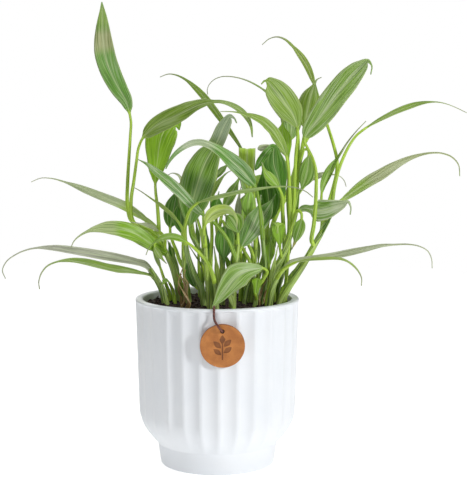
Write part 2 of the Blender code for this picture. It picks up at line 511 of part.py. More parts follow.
class SmoothLine:
    """A smooth curve through points, read by the distance along it."""

    STEPS = 10  # per stretch between two points

    def __init__(self, points):
        gaps = [(b - a).length for a, b in zip(points, points[1:])]
        slopes = [(b - a) / gap for a, b, gap in zip(points, points[1:], gaps)]
        tangents = [slopes[0]]
        for i in range(1, len(points) - 1):
            near, far = gaps[i - 1], gaps[i]
            tangents.append((slopes[i - 1] * far + slopes[i] * near) / (near + far))
        tangents.append(slopes[-1])
        self.places = [points[0]]
        self.knots = [0]
        for i, gap in enumerate(gaps):
            for step in range(1, self.STEPS + 1):
                t = step / self.STEPS
                self.places.append(
                    points[i] * (2 * t**3 - 3 * t**2 + 1) + points[i + 1] * (3 * t**2 - 2 * t**3)
                    + tangents[i] * gap * (t**3 - 2 * t**2 + t) + tangents[i + 1] * gap * (t**3 - t**2)
                )
            self.knots.append(len(self.places) - 1)
        self.lengths = [0.0]
        for a, b in zip(self.places, self.places[1:]):
            self.lengths.append(self.lengths[-1] + (b - a).length)

    @property
    def length(self):
        return self.lengths[-1]

    def distance_to(self, point_index):
        return self.lengths[self.knots[point_index]]

    def at(self, distance):
        distance = min(max(distance, 0.0), self.length)
        i = min(max(bisect.bisect_right(self.lengths, distance) - 1, 0), len(self.places) - 2)
        share = (distance - self.lengths[i]) / (self.lengths[i + 1] - self.lengths[i])
        return self.places[i].lerp(self.places[i + 1], share)

    def along(self, distance):
        step = 0.001
        return (self.at(distance + step) - self.at(distance - step)).normalized()

    def stations(self, start, end, spacing, least):
        """Distances after start and up to end, closer together where the line bends."""
        samples = 40
        step = (end - start) / samples
        headings = [self.along(start + step * i) for i in range(samples + 1)]
        sums = [0.0]
        for a, b in zip(headings, headings[1:]):
            sums.append(sums[-1] + step / spacing + a.angle(b) / BEND_STEP)
        count = max(least, round(sums[-1]))
        found = []
        for k in range(1, count + 1):
            wanted = sums[-1] * k / count
            i = min(bisect.bisect_left(sums, wanted), samples)
            share = (wanted - sums[i - 1]) / (sums[i] - sums[i - 1])
            found.append(start + step * (i - 1 + share))
        return found


def interpolated(pairs, share):
    """Reads a list of (share, value) pairs between its entries."""
    for (a, low), (b, high) in zip(pairs, pairs[1:]):
        if share <= b:
            t = (share - a) / (b - a)
            return low + (high - low) * t
    return pairs[-1][1]


def half_width(form, share):
    """Half a blade's width as a part of its greatest half width."""
    if form["outline"]:
        return interpolated(form["outline"], share) / max(w for _, w in form["outline"])
    body = 1 - form["tail"]
    if share >= body:
        return 0.0
    power = math.log(0.5) / math.log(form["widest"])
    bulge = 0.9 + 0.8 * min(max(share / body - 0.6, 0) / 0.3, 1)
    return math.sin(math.pi * (share / body) ** power) ** bulge


def thread_half(form, half, share):
    """Half the width of a leaf's thread-like tip, which narrows faster at first."""
    first, last = THREAD_HALF
    if form["outline"]:
        return last
    start = 0.85 * (1 - form["tail"])
    left = 1 - max(share - start, 0) / (1 - start)
    return last + max(min(first, THREAD_MOST * half) - last, 0) * left**1.8


def material(name, colour, roughness, metallic=0.0):
    made = bpy.data.materials.new(name)
    made.use_nodes = True
    shader = made.node_tree.nodes["Principled BSDF"]
    shader.inputs["Base Color"].default_value = (*colour, 1)
    shader.inputs["Roughness"].default_value = roughness
    shader.inputs["Metallic"].default_value = metallic
    return made


def object_from(bm, name, collection, finish=None):
    mesh = bpy.data.meshes.new(name)
    bm.to_mesh(mesh)
    bm.free()
    obj = bpy.data.objects.new(name, mesh)
    if finish:
        mesh.materials.append(finish)
    collection.objects.link(obj)
    return obj


def as_helper(obj):
    obj.hide_render = True
    obj.display_type = "WIRE"
    return obj


def ringed_prism(sides, rings):
    """A closed prism with rings along it, and its vertices as [ring][side]."""
    bm = bmesh.new()
    bmesh.ops.create_cone(bm, cap_ends=True, segments=sides, radius1=1, radius2=1, depth=1)
    uprights = [e for e in bm.edges if abs(e.verts[0].co.z - e.verts[1].co.z) > 0.5]
    bmesh.ops.subdivide_edges(bm, edges=uprights, cuts=rings - 2)
    first = next(iter(bm.verts)).co
    phase = math.atan2(first.y, first.x)
    table = [[None] * sides for _ in range(rings)]
    for vert in bm.verts:
        turn = (math.atan2(vert.co.y, vert.co.x) - phase) / math.tau
        table[round((vert.co.z + 0.5) * (rings - 1))][round(turn * sides) % sides] = vert
    return bm, table


def lofted(sections):
    """A closed body through sections of the same number of points, each counter-clockwise when
    seen from the far end. Quads are split alike on both faces of a flat section."""
    sides, rings = len(sections[0]), len(sections)
    bm, table = ringed_prism(sides, rings)
    for row, section in zip(table, sections):
        for vert, place in zip(row, section):
            vert.co = place
    middle = (sides // 2 - 1) / 2

    def off_middle(side):
        return abs(side % (sides // 2) - middle)

    for low, high in zip(table, table[1:]):
        for side in range(sides):
            after = (side + 1) % sides
            corners = {low[side], low[after], high[side], high[after]}
            face = next(f for f in low[side].link_faces if set(f.verts) == corners)
            inner, outer = (side, after) if off_middle(side) < off_middle(after) else (after, side)
            bmesh.utils.face_split(face, low[inner], high[outer])
    return bm


def leaf_stations(line, base, form):
    """Distances along a leaf's line where it has a section."""
    blade = line.length - base
    body = base + blade * (1 if form["outline"] else 1 - form["tail"])
    shape = 7 if form["outline"] else 5
    found = [0.0, *line.stations(0, base, 0.045, 2), *line.stations(base, body, 0.024, shape)]
    if body < line.length:
        found += line.stations(body, line.length, 0.030, 1)
    return found


def upright(face, along, before):
    """The direction near to face that is square to the line. It turns smoothly from the one before,
    so a blade that folds over isn't turned inside out."""
    up = face - along * face.dot(along)
    if before:
        kept = before - along * before.dot(along)
        up = (up if up.dot(kept) > 0 else -up) + kept * 0.4
    return up.normalized()


def section(place, along, up, half, thickness, rib, round_radius, flatness):
    """Six points round a line: a round stalk at flatness 0 and a folded blade at 1."""
    side = up.cross(along)
    corners = []
    for corner, (across, over) in enumerate(((1, 1), (0, 1), (-1, 1), (-1, -1), (0, -1), (1, -1))):
        angle = math.radians(30 + 60 * corner)
        flat_up = (abs(across) - 0.5) * half * FOLD + over * (thickness if across else rib) / 2
        x = across * half * flatness + round_radius * math.cos(angle) * (1 - flatness)
        z = flat_up * flatness + round_radius * math.sin(angle) * (1 - flatness)
        corners.append(place + side * x + up * z)
    return corners


def true_half(line, base, form):
    """Half the blade's width, from the half that the eye in front sees of it."""
    middle = base + 0.4 * (line.length - base)
    along = line.along(middle)
    up = upright(form["faces"][0].lerp(form["faces"][1], 0.4), along, None)
    side = up.cross(along)
    sight = (line.at(middle) - EYE).normalized()
    shown = (side - sight * side.dot(sight)).length
    return form["seen"] * MM / max(shown, 0.5)


def leaf_body(start, form):
    """A closed leaf from its place inside the stem to its thread-like tip."""
    stalk = seen_line(form["stalk"], start[1].y / MM, form["depth"][0])
    blade = seen_line(form["blade"], *form["depth"])
    line = SmoothLine([start[0], start[1], *stalk, *blade])
    base = line.distance_to(2 + len(stalk))
    half = true_half(line, base, form)
    sections, up = [], None
    for distance in leaf_stations(line, base, form):
        share = max(distance - base, 0) / (line.length - base)
        flatness = min(share / 0.06, 1)
        radius = SHEATH_RADIUS + (STALK_RADIUS - SHEATH_RADIUS) * min(distance / base, 1)
        width = max(half * half_width(form, share), thread_half(form, half, share))
        rib = RIB_THICKNESS + (BLADE_THICKNESS - RIB_THICKNESS) * share
        along = line.along(distance)
        up = upright(form["faces"][0].lerp(form["faces"][1], share), along, up)
        place = line.at(distance)
        sections.append(section(place, along, up, width, BLADE_THICKNESS, rib, radius, flatness))
    return lofted(sections)


def in_soil(shoot):
    """Where a stem comes out of the soil, and the way that it points below that."""
    x, y = shoot["root"]
    collar = Vector((x * MM, y * MM, SOIL_HEIGHT + SOIL_MOUND / 2))
    lean = (seen_point(*shoot["stem"][0]) - collar).normalized()
    flat = Vector((lean.x, lean.y, 0))
    most = lean.z * math.tan(MOST_LEAN)
    if flat.length > most:
        flat *= most / flat.length
    return collar, Vector((flat.x, flat.y, lean.z)).normalized()


def stem_line(shoot):
    collar, up = in_soil(shoot)
    low = [collar - up * (ROOT_DEPTH - GAP), collar, collar + up * 0.003]
    return SmoothLine([*low, *(seen_point(*p) for p in shoot["stem"])])


def stem_body(shoot, line):
    """The stem: a six-sided tube, straight in its hole, thinner towards its last leaf."""
    sections, up = [], None
    for distance in [0.0, *line.stations(0, line.length, 0.024, 4)]:
        share = distance / line.length
        radius = shoot["radius"] * MM * (FOOT_SWELL + (TOP_TAPER - FOOT_SWELL) * share)
        if share > 0.999:
            radius *= 0.6
        along = line.along(distance)
        up = upright(Vector((0, -1, 0.2)), along, up)
        sections.append(section(line.at(distance), along, up, 0, 0, 0, radius, 0))
    return lofted(sections)


def united(name, bodies, collection, finish):
    """Joins closed bodies by one Boolean union, and removes the ones it was made from."""
    loose = bpy.data.collections.new(name + "_leaves")
    bpy.context.scene.collection.children.link(loose)
    first = object_from(bodies[0], name, collection, finish)
    for i, body in enumerate(bodies[1:]):
        object_from(body, f"{name}_leaf_{i}", loose, finish)
    union = first.modifiers.new("leaves", "BOOLEAN")
    union.operation = "UNION"
    union.operand_type = "COLLECTION"
    union.collection = loose
    union.solver = "MANIFOLD"
    bpy.context.view_layer.update()
    graph = bpy.context.evaluated_depsgraph_get()
    joined = bpy.data.meshes.new_from_object(first.evaluated_get(graph))
    first.modifiers.clear()
    first.data = joined
    for obj in list(loose.objects):
        bpy.data.objects.remove(obj)
    bpy.data.collections.remove(loose)
    return first


def make_shoot(name, shoot, collection, finish):
    line = stem_line(shoot)
    bodies = [stem_body(shoot, line)]
    for form in shoot["leaves"]:
        distance = form["at"] * line.length
        inside = line.at(distance - 0.006), line.at(distance)
        bodies.append(leaf_body(inside, form))
    return united(name, bodies, collection, finish)


def pot_radius(height):
    """The pot's outer radius on its ridges."""
    if height < FOOT_HEIGHT:
        return BASE_RADIUS + (FOOT_RADIUS - BASE_RADIUS) * height / FOOT_HEIGHT
    if height < SHOULDER_HEIGHT:
        fall = (SHOULDER_HEIGHT - height) / (SHOULDER_HEIGHT - FOOT_HEIGHT)
        return FOOT_RADIUS + (SHOULDER_RADIUS - FOOT_RADIUS) * (1 - fall**SHOULDER_EASE)
    rise = (height - SHOULDER_HEIGHT) / (POT_HEIGHT - SHOULDER_HEIGHT)
    return SHOULDER_RADIUS + (RIM_RADIUS - SHOULDER_RADIUS) * rise


def flute_share(height):
    """How deep the flutes are at this height: none on the lip and the foot."""
    if height > POT_HEIGHT - LIP or height < FOOT_HEIGHT:
        return 0.0
    spread = (pot_radius(height) - FOOT_RADIUS) / (SHOULDER_RADIUS - FOOT_RADIUS)
    return min(1.0, spread) ** 0.6


def pot_rows():
    """Heights and radii up the outside, with how deep the flutes are."""
    rows = [(0.0, BASE_RADIUS - EDGE_ROUND, 0), (EDGE_ROUND, pot_radius(EDGE_ROUND), 0)]
    rows.append((FOOT_HEIGHT - 0.0004, FOOT_RADIUS, 0))
    for i in range(1, 6):
        height = FOOT_HEIGHT + (SHOULDER_HEIGHT - FOOT_HEIGHT) * i / 5
        rows.append((height, pot_radius(height), flute_share(height)))
    flute_top = POT_HEIGHT - LIP - FLUTE_END
    rows.append((flute_top, pot_radius(flute_top), 1))
    rows.append((POT_HEIGHT - LIP, pot_radius(POT_HEIGHT - LIP), 0))
    rows.append((POT_HEIGHT - EDGE_ROUND, RIM_RADIUS, 0))
    rows.append((POT_HEIGHT, RIM_RADIUS - EDGE_ROUND, 0))
    return rows


def flute_dip(column):
    """Depth of the groove at a column, and the column's angle from the front ridge."""
    pitch = math.tau / FLUTES
    flute, part = divmod(column, COLUMNS_PER_FLUTE)
    grooves = COLUMNS_PER_FLUTE - 1
    across = RIDGE_SHARE / 2 + (1 - RIDGE_SHARE) * part / grooves
    angle = (flute + across) * pitch - math.pi / 2 + FLUTE_TURN
    return FLUTE_DEPTH * math.sin(math.pi * part / grooves), angle


def pot_cavity(grown=0.0):
    """Profile of the pot's inside from its axis up, as (radius, height), held back by grown."""
    inner = RIM_RADIUS - WALL - grown
    return [
        (0.0, FLOOR + grown), (0.040 - grown, FLOOR + grown), (0.0455 - grown, 0.0165),
        (0.0540 - grown, 0.0260), (0.0595 - grown, 0.0370), (0.0615 - grown, 0.0500),
        (inner, POT_HEIGHT - 0.0035),
    ]


def turned(profile, steps):
    """A closed body turned round the Z axis from a profile whose two ends lie on the axis."""
    bm = bmesh.new()
    verts = [bm.verts.new((r, 0, z)) for r, z in profile]
    edges = [bm.edges.new(pair) for pair in zip(verts, verts[1:])]
    bmesh.ops.spin(
        bm, geom=verts + edges, cent=(0, 0, 0), axis=(0, 0, 1), angle=math.tau, steps=steps,
        use_merge=True,
    )
    bmesh.ops.remove_doubles(bm, verts=bm.verts, dist=1e-6)
    bmesh.ops.recalc_face_normals(bm, faces=bm.faces)
    return bm


def make_pot(collection, cutters):
    sections = []
    for height, radius, flute in pot_rows():
        ring = []
        for column in range(FLUTES * COLUMNS_PER_FLUTE):
            dip, angle = flute_dip(column)
            r = radius - dip * flute
            ring.append(Vector((r * math.cos(angle), r * math.sin(angle), height)))
        sections.append(ring)
    bm, table = ringed_prism(FLUTES * COLUMNS_PER_FLUTE, len(sections))
    for row, section in zip(table, sections):
        for vert, place in zip(row, section):
            vert.co = place
    glazed = material("white_glazed_ceramic", (0.86, 0.87, 0.88), 0.35)
    pot = object_from(bm, "pot", collection, glazed)
    mouth = RIM_RADIUS - WALL
    profile = pot_cavity() + [(mouth, POT_HEIGHT - 0.0012), (mouth + 0.0012, POT_HEIGHT + 0.0002)]
    profile += [(mouth + 0.0012, POT_HEIGHT + 0.005), (0.0, POT_HEIGHT + 0.005)]
    cavity = as_helper(object_from(turned(profile, CAVITY_STEPS), "pot_cavity", cutters))
    cut = pot.modifiers.new("cavity", "BOOLEAN")
    cut.operation = "DIFFERENCE"
    cut.object = cavity


def make_soil(collection, cutters):
    """Soil to the pot's floor, with a lumpy top and a blind hole for each stem."""
    edge = RIM_RADIUS - WALL - GAP
    profile = [(r, z) for r, z in pot_cavity(GAP) if z < 0.1]
    profile.append((edge - 0.0002, SOIL_HEIGHT - 0.002))
    for share in (0.97, 0.76, 0.5, 0.25, 0.0):
        profile.append((edge * share, SOIL_HEIGHT + SOIL_MOUND * (1 - share**2)))
    bm = turned(profile, CAVITY_STEPS)
    for vert in bm.verts:
        radius = math.hypot(vert.co.x, vert.co.y)
        if vert.co.z > SOIL_HEIGHT - 0.001 and radius < 0.9 * edge:
            vert.co.z += SOIL_LUMP * noise.noise(vert.co * 90)
    earth = material("potting_soil", (0.03, 0.018, 0.014), 0.95)
    soil = object_from(bm, "soil", collection, earth)
    holes = bpy.data.collections.new("stem_holes")
    cutters.children.link(holes)
    for name, shoot in SHOOTS.items():
        hole = bmesh.new()
        radius = (shoot["radius"] * MM * FOOT_SWELL + GAP) / math.cos(math.pi / HOLE_SIDES)
        above = 0.012
        depth = ROOT_DEPTH + above
        bmesh.ops.create_cone(
            hole, cap_ends=True, segments=HOLE_SIDES, radius1=radius, radius2=radius, depth=depth
        )
        drill = as_helper(object_from(hole, name + "_hole", holes))
        collar, up = in_soil(shoot)
        drill.location = collar + up * (above - depth / 2)
        drill.rotation_mode = "QUATERNION"
        drill.rotation_quaternion = up.to_track_quat("Z", "Y")
    cut = soil.modifiers.new("stem holes", "BOOLEAN")
    cut.operation = "DIFFERENCE"
    cut.operand_type = "COLLECTION"
    cut.collection = holes


def make_tag(collection, cutters):
    """A leather disc that hangs by its hole and leans against the pot."""
    bm = bmesh.new()
    bmesh.ops.create_cone(
        bm, cap_ends=True, segments=36, radius1=TAG_RADIUS, radius2=TAG_RADIUS, depth=TAG_THICKNESS
    )
    rims = [e for e in bm.edges if len({round(v.co.z, 6) for v in e.verts}) == 1]
    bmesh.ops.bevel(bm, geom=rims, offset=0.0004, segments=1, profile=0.5, affect="EDGES", material=-1)
    leather = material("tan_leather", (0.45, 0.14, 0.03), 0.6)
    tag = object_from(bm, "tag", collection, leather)
    tag.location = TAG_CENTRE
    tag.rotation_euler = (math.radians(90) + TAG_LEAN, 0, 0)
    punch = bmesh.new()
    bmesh.ops.create_cone(
        punch, cap_ends=True, segments=16, radius1=TAG_HOLE_RADIUS, radius2=TAG_HOLE_RADIUS, depth=0.01
    )
    hole = as_helper(object_from(punch, "tag_hole", cutters))
    hole.parent = tag
    hole.location = (0, TAG_HOLE_UP, 0)
    cut = tag.modifiers.new("hole", "BOOLEAN")
    cut.operation = "DIFFERENCE"
    cut.object = hole


def lace_route():
    """From the soil up the pot's inner wall, over the rim, over the tag's edge and through its hole."""
    x = -0.0018
    middle, spring = -(RIM_RADIUS - WALL / 2), POT_HEIGHT - 0.0028
    bend = 0.0051
    route = [Vector((x - 0.0008, middle + bend, SOIL_HEIGHT + 0.0012))]
    for i in range(7):
        angle = math.pi * i / 6
        route.append(Vector((x, middle + bend * math.cos(angle), spring + bend * math.sin(angle))))
    lean = Vector((0, -math.sin(TAG_LEAN), math.cos(TAG_LEAN)))
    hole = TAG_CENTRE + lean * TAG_HOLE_UP
    for sideways, out, up in (
        (-0.0070, 0.0021, 0.0101), (-0.0067, -0.0001, 0.0079), (-0.0053, -0.0031, 0.0066),
        (-0.0032, -0.0051, 0.0047), (-0.0012, -0.0053, 0.0023), (-0.0002, -0.0038, 0.0005),
        (0.0, -0.0018, 0.0), (0.0, 0.0, 0.0), (0.0, TAG_THICKNESS / 2 + 0.0006, 0.0002),
    ):
        route.append(hole + Vector((sideways, out, up)))
    return route


def make_lace(collection):
    line = SmoothLine(lace_route())
    count = round(line.length / (0.8 * LACE_DIAMETER))
    curve = bpy.data.curves.new("lace_line", "CURVE")
    curve.dimensions = "3D"
    curve.bevel_depth = LACE_DIAMETER / 2
    curve.bevel_resolution = 2
    curve.use_fill_caps = True
    spline = curve.splines.new("POLY")
    spline.points.add(count)
    for i, point in enumerate(spline.points):
        point.co = (*line.at(line.length * i / count), 1)
    curve.materials.append(material("brown_cord", (0.11, 0.035, 0.022), 0.8))
    collection.objects.link(bpy.data.objects.new("lace", curve))


def make_knot(collection):
    bm = bmesh.new()
    bmesh.ops.create_icosphere(bm, subdivisions=2, radius=KNOT_RADIUS)
    bmesh.ops.scale(bm, verts=bm.verts, vec=(1.15, 0.42, 1.15))
    finish = material("brown_cord_knot", (0.11, 0.035, 0.022), 0.8)
    knot = object_from(bm, "lace_knot", collection, finish)
    end = lace_route()[-1]
    knot.location = end + Vector((0, GAP + KNOT_RADIUS * 0.42, 0))


def clear_scene():
    for obj in list(bpy.data.objects):
        bpy.data.objects.remove(obj)


def main():
    clear_scene()
    plant = bpy.data.collections.new("potted_pothos")
    cutters = bpy.data.collections.new("cutters")
    for made in (plant, cutters):
        bpy.context.scene.collection.children.link(made)
    cutters.hide_render = True
    make_pot(plant, cutters)
    make_soil(plant, cutters)
    make_tag(plant, cutters)
    make_lace(plant)
    make_knot(plant)
    green = material("leaf_green", (0.16, 0.33, 0.06), 0.5)
    for name, shoot in SHOOTS.items():
        make_shoot(name, shoot, plant, green)


main()
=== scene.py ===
# A potted pothos in a fluted white pot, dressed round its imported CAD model.
import bisect
import math
import random

import bmesh
import bpy
from mathutils import Matrix, Vector, noise


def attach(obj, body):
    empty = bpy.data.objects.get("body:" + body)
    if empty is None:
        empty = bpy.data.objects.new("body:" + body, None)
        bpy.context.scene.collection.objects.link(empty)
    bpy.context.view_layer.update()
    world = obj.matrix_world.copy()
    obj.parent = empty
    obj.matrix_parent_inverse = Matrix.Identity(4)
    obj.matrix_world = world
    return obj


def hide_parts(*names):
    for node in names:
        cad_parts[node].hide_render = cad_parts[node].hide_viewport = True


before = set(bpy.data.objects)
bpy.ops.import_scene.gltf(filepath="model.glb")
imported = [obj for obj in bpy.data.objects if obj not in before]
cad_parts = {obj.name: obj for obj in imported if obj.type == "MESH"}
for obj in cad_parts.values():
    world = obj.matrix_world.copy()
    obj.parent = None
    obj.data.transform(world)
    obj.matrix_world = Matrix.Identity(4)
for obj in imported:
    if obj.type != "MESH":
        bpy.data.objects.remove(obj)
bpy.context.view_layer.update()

scene = bpy.context.scene
mm = 0.001
cm = 0.01
print("frame loaded")


def toLinear(hexColour):
    # an sRGB hex colour as the linear values that shaders take
    parts = [int(hexColour[i:i + 2], 16) / 255 for i in (1, 3, 5)]
    return tuple(c / 12.92 if c <= 0.04045 else ((c + 0.055) / 1.055) ** 2.4 for c in parts) + (1.0,)


def between(low, high, share):
    return low + (high - low) * share


def mixed(one, other, share):
    return tuple(between(a, b, share) for a, b in zip(one, other))


def clamped(value, low=0.0, high=1.0):
    return min(max(value, low), high)


def smooth(share):
    return share * share * (3 - 2 * share)


def curved(low, high, lowSlope, highSlope, gap, t):
    # from low to high over a gap, with these slopes at its two ends
    return (
        low * (2 * t**3 - 3 * t**2 + 1) + high * (3 * t**2 - 2 * t**3)
        + lowSlope * gap * (t**3 - 2 * t**2 + t) + highSlope * gap * (t**3 - t**2)
    )


def addNode(tree, kind, settings=None, inputs=None):
    # adds a shader node; an input is a value, or the output socket that feeds it
    node = tree.nodes.new("ShaderNode" + kind)
    for name, value in (settings or {}).items():
        setattr(node, name, value)
    for socket, value in (inputs or {}).items():
        if isinstance(value, bpy.types.NodeSocket):
            tree.links.new(value, node.inputs[socket])
        else:
            node.inputs[socket].default_value = value
    return node


def objectPlace(tree):
    return addNode(tree, "TexCoord").outputs["Object"]


def addNoise(tree, place, scale, detail):
    noisy = addNode(tree, "TexNoise", inputs={"Vector": place, "Scale": scale, "Detail": detail})
    return noisy.outputs["Fac"]


def addMath(tree, operation, *values):
    return addNode(tree, "Math", {"operation": operation}, dict(enumerate(values))).outputs[0]


def addRange(tree, value, span, results, way="SMOOTHSTEP"):
    # what a value gives, from the first result at the span's start to the second at its end
    ends = dict(zip(("From Min", "From Max", "To Min", "To Max"), (*span, *results)))
    return addNode(tree, "MapRange", {"interpolation_type": way}, {"Value": value, **ends}).outputs[0]


def newMaterial(name, **sockets):
    # a Principled material with constants on the shader's own sockets, and its shader
    made = bpy.data.materials.new(name)
    made.use_nodes = True
    shader = made.node_tree.nodes["Principled BSDF"]
    for socket, value in sockets.items():
        shader.inputs[socket.replace("_", " ")].default_value = value
    return made, made.node_tree, shader


def colourBy(tree, shader, source, stops):
    # the surface's colour along a value, from (position, hex colour) pairs
    ramp = addNode(tree, "ValToRGB", inputs={"Fac": source})
    while len(ramp.color_ramp.elements) < len(stops):
        ramp.color_ramp.elements.new(0.5)
    for element, (position, colour) in zip(ramp.color_ramp.elements, stops):
        element.position = position
        element.color = toLinear(colour)
    tree.links.new(ramp.outputs["Color"], shader.inputs["Base Color"])


def addBump(tree, shader, strength, distance, height):
    # relief too fine for the mesh, distance in metres
    bump = addNode(tree, "Bump", inputs={"Strength": strength, "Distance": distance, "Height": height})
    tree.links.new(bump.outputs[0], shader.inputs["Normal"])


def linked(name, data):
    obj = bpy.data.objects.new(name, data)
    scene.collection.objects.link(obj)
    return obj


def newObject(bm, name, materials, shaded=True):
    mesh = bpy.data.meshes.new(name)
    bm.to_mesh(mesh)
    bm.free()
    for made in materials:
        mesh.materials.append(made)
    for face in mesh.polygons:
        face.use_smooth = shaded
    return linked(name, mesh)


def joinTo(whole, bm):
    # adds one mesh in the making to another
    mesh = bpy.data.meshes.new("joined")
    bm.to_mesh(mesh)
    bm.free()
    whole.from_mesh(mesh)
    bpy.data.meshes.remove(mesh)


def spun(profile, steps):
    # a closed body turned round the pot's axis from (radius, height) pairs
    bm = bmesh.new()
    verts = [bm.verts.new((r, 0, z)) for r, z in profile]
    edges = [bm.edges.new(pair) for pair in zip(verts, verts[1:])]
    bmesh.ops.spin(
        bm, geom=verts + edges, cent=(0, 0, 0), axis=(0, 0, 1), angle=math.tau, steps=steps, use_merge=True,
    )
    bmesh.ops.remove_doubles(bm, verts=bm.verts, dist=1e-6)
    return bm


def settle(obj, slot, *nodes):
    # the piece rides on the plant, and stands for these CAD nodes
    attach(obj, "root")
    if nodes:
        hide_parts(*nodes)
    print("made", obj.name, len(obj.data.polygons) if obj.type == "MESH" else "")
    return obj


photoView = {
    "place": (0.0139, -1.100, 0.308),
    "pitchDown": 0.104,  # radians
    "lens": 97.5,  # mm, on a 36 mm sensor
}
cameraData = bpy.data.cameras.new("photo_camera")
cameraData.lens = photoView["lens"]
cameraData.sensor_width = 36
camera = linked("photo_camera", cameraData)
camera.location = photoView["place"]
camera.rotation_euler = (math.pi / 2 - photoView["pitchDown"], 0, 0)
scene.camera = camera
scene.view_settings.view_transform = "Standard"  # keeps the white pot white

studio = {
    "floorRadius": 2.4,
    "floorFade": (0.55, 1.5),  # the sheet thins out between these radii, like paper that curves away
    "floorColour": "#F7F7F6",
    "floorGlow": (0.36, 0.26),  # light that comes up through the paper, and more that only the camera sees
    "ambient": 0.24,  # light from all round
    "backdrop": 1.0,  # brightness that the camera sees behind
    "aim": (0.02, 0, 0.17),  # the place that every lamp faces
    # name: (place, size in m, watts)
    "lamps": {
        "key_softbox": ((1.04, -0.88, 0.60), 0.24, 9.2),
        "top_softbox": ((-0.1, -0.1, 1.4), 0.9, 6.5),
        "front_softbox": ((-0.45, -1.35, 0.55), 0.4, 1.0),
        "left_softbox": ((-1.25, -0.10, 0.40), 0.35, 0.5),
        "back_softbox": ((-0.40, 1.30, 0.80), 0.8, 3.5),
    },
}


def makeStudio():
    bm = bmesh.new()
    bmesh.ops.create_circle(bm, cap_ends=True, segments=96, radius=studio["floorRadius"])
    # matt paper over a light table: even and white, with no shine
    paper, tree, shader = newMaterial("backlit_white_paper", Roughness=0.9, Emission_Color=(1, 1, 1, 1))
    glow, more = studio["floorGlow"]
    seen = addNode(tree, "LightPath").outputs["Is Camera Ray"]
    tree.links.new(addMath(tree, "MULTIPLY_ADD", seen, more, glow), shader.inputs["Emission Strength"])
    shader.inputs["Base Color"].default_value = toLinear(studio["floorColour"])
    reach = addNode(tree, "VectorMath", {"operation": "LENGTH"}, {0: objectPlace(tree)}).outputs["Value"]
    tree.links.new(addRange(tree, reach, studio["floorFade"], (1.0, 0.0)), shader.inputs["Alpha"])
    floor = newObject(bm, "floor", [paper], shaded=False)
    for name, (place, size, watts) in studio["lamps"].items():
        light = bpy.data.lights.new(name, "AREA")
        light.shape = "DISK"
        light.size = size
        light.energy = watts
        lamp = linked(name, light)
        lamp.location = place
        aim = Vector(studio["aim"]) - lamp.location
        lamp.rotation_euler = aim.to_track_quat("-Z", "Y").to_euler()
    world = bpy.data.worlds.new("white_studio")
    world.use_nodes = True
    tree = world.node_tree
    tree.nodes.clear()
    around, behind = (
        addNode(tree, "Background", inputs={"Color": (1, 1, 1, 1), "Strength": studio[name]}).outputs[0]
        for name in ("ambient", "backdrop")
    )
    seen = addNode(tree, "LightPath").outputs["Is Camera Ray"]
    mix = addNode(tree, "MixShader", inputs={0: seen, 1: around, 2: behind})
    addNode(tree, "OutputWorld", inputs={"Surface": mix.outputs[0]})
    scene.world = world


makeStudio()
print("studio set")


# the lace is a waxed brown cord over the rim and through the tag's hole
rim = {"radius": 0.070, "wall": 0.0063, "height": 0.143}
soilHeight = 0.137
tagForm = {
    "radius": 0.0182,
    "thickness": 0.0025,
    "edgeRound": 0.0005,
    "centre": Vector((0.0050, -0.0727, 0.1143)),
    "lean": math.radians(7),  # its top stands further off the pot
    "holeUp": 0.0124,
    "holeRadius": 0.0018,
}
laceForm = {
    "diameter": 0.0020,
    "length": 0.0434,
    "x": -0.0018,
    "start": (-0.0008, 0.0012),  # sideways from x, and up from the soil
    "bendRadius": 0.0051,
    "bendBelowRim": 0.0028,
    # from the rim to the tag's hole: sideways, out and up from the hole
    "run": (
        (-0.0067, 0.0021, 0.0103), (-0.0061, -0.0004, 0.0083), (-0.0049, -0.0031, 0.0066),
        (-0.0034, -0.0047, 0.0046), (-0.0016, -0.0050, 0.0024), (-0.0003, -0.0038, 0.0006),
        (0.0, -0.0018, 0.0), (0.0, 0.0, 0.0), (0.0, tagForm["thickness"] / 2 + 0.0006, 0.0002),
    ),
    "strandPitch": 1.6,  # mm
    "step": 0.3,  # between the points of its curve, in diameters
}
knotForm = {
    "radius": 0.0022,
    "turns": 2,
    "reach": (0.62, 0.22),  # of the turns, and how much it varies, as shares of the radius
    "rise": 0.0006,
    "cord": 0.42,  # half the cord's thickness when drawn tight, as a share of its diameter
    "gap": 0.0003,  # between the lace's end and its middle, besides half the cord
    "steps": 48,
}


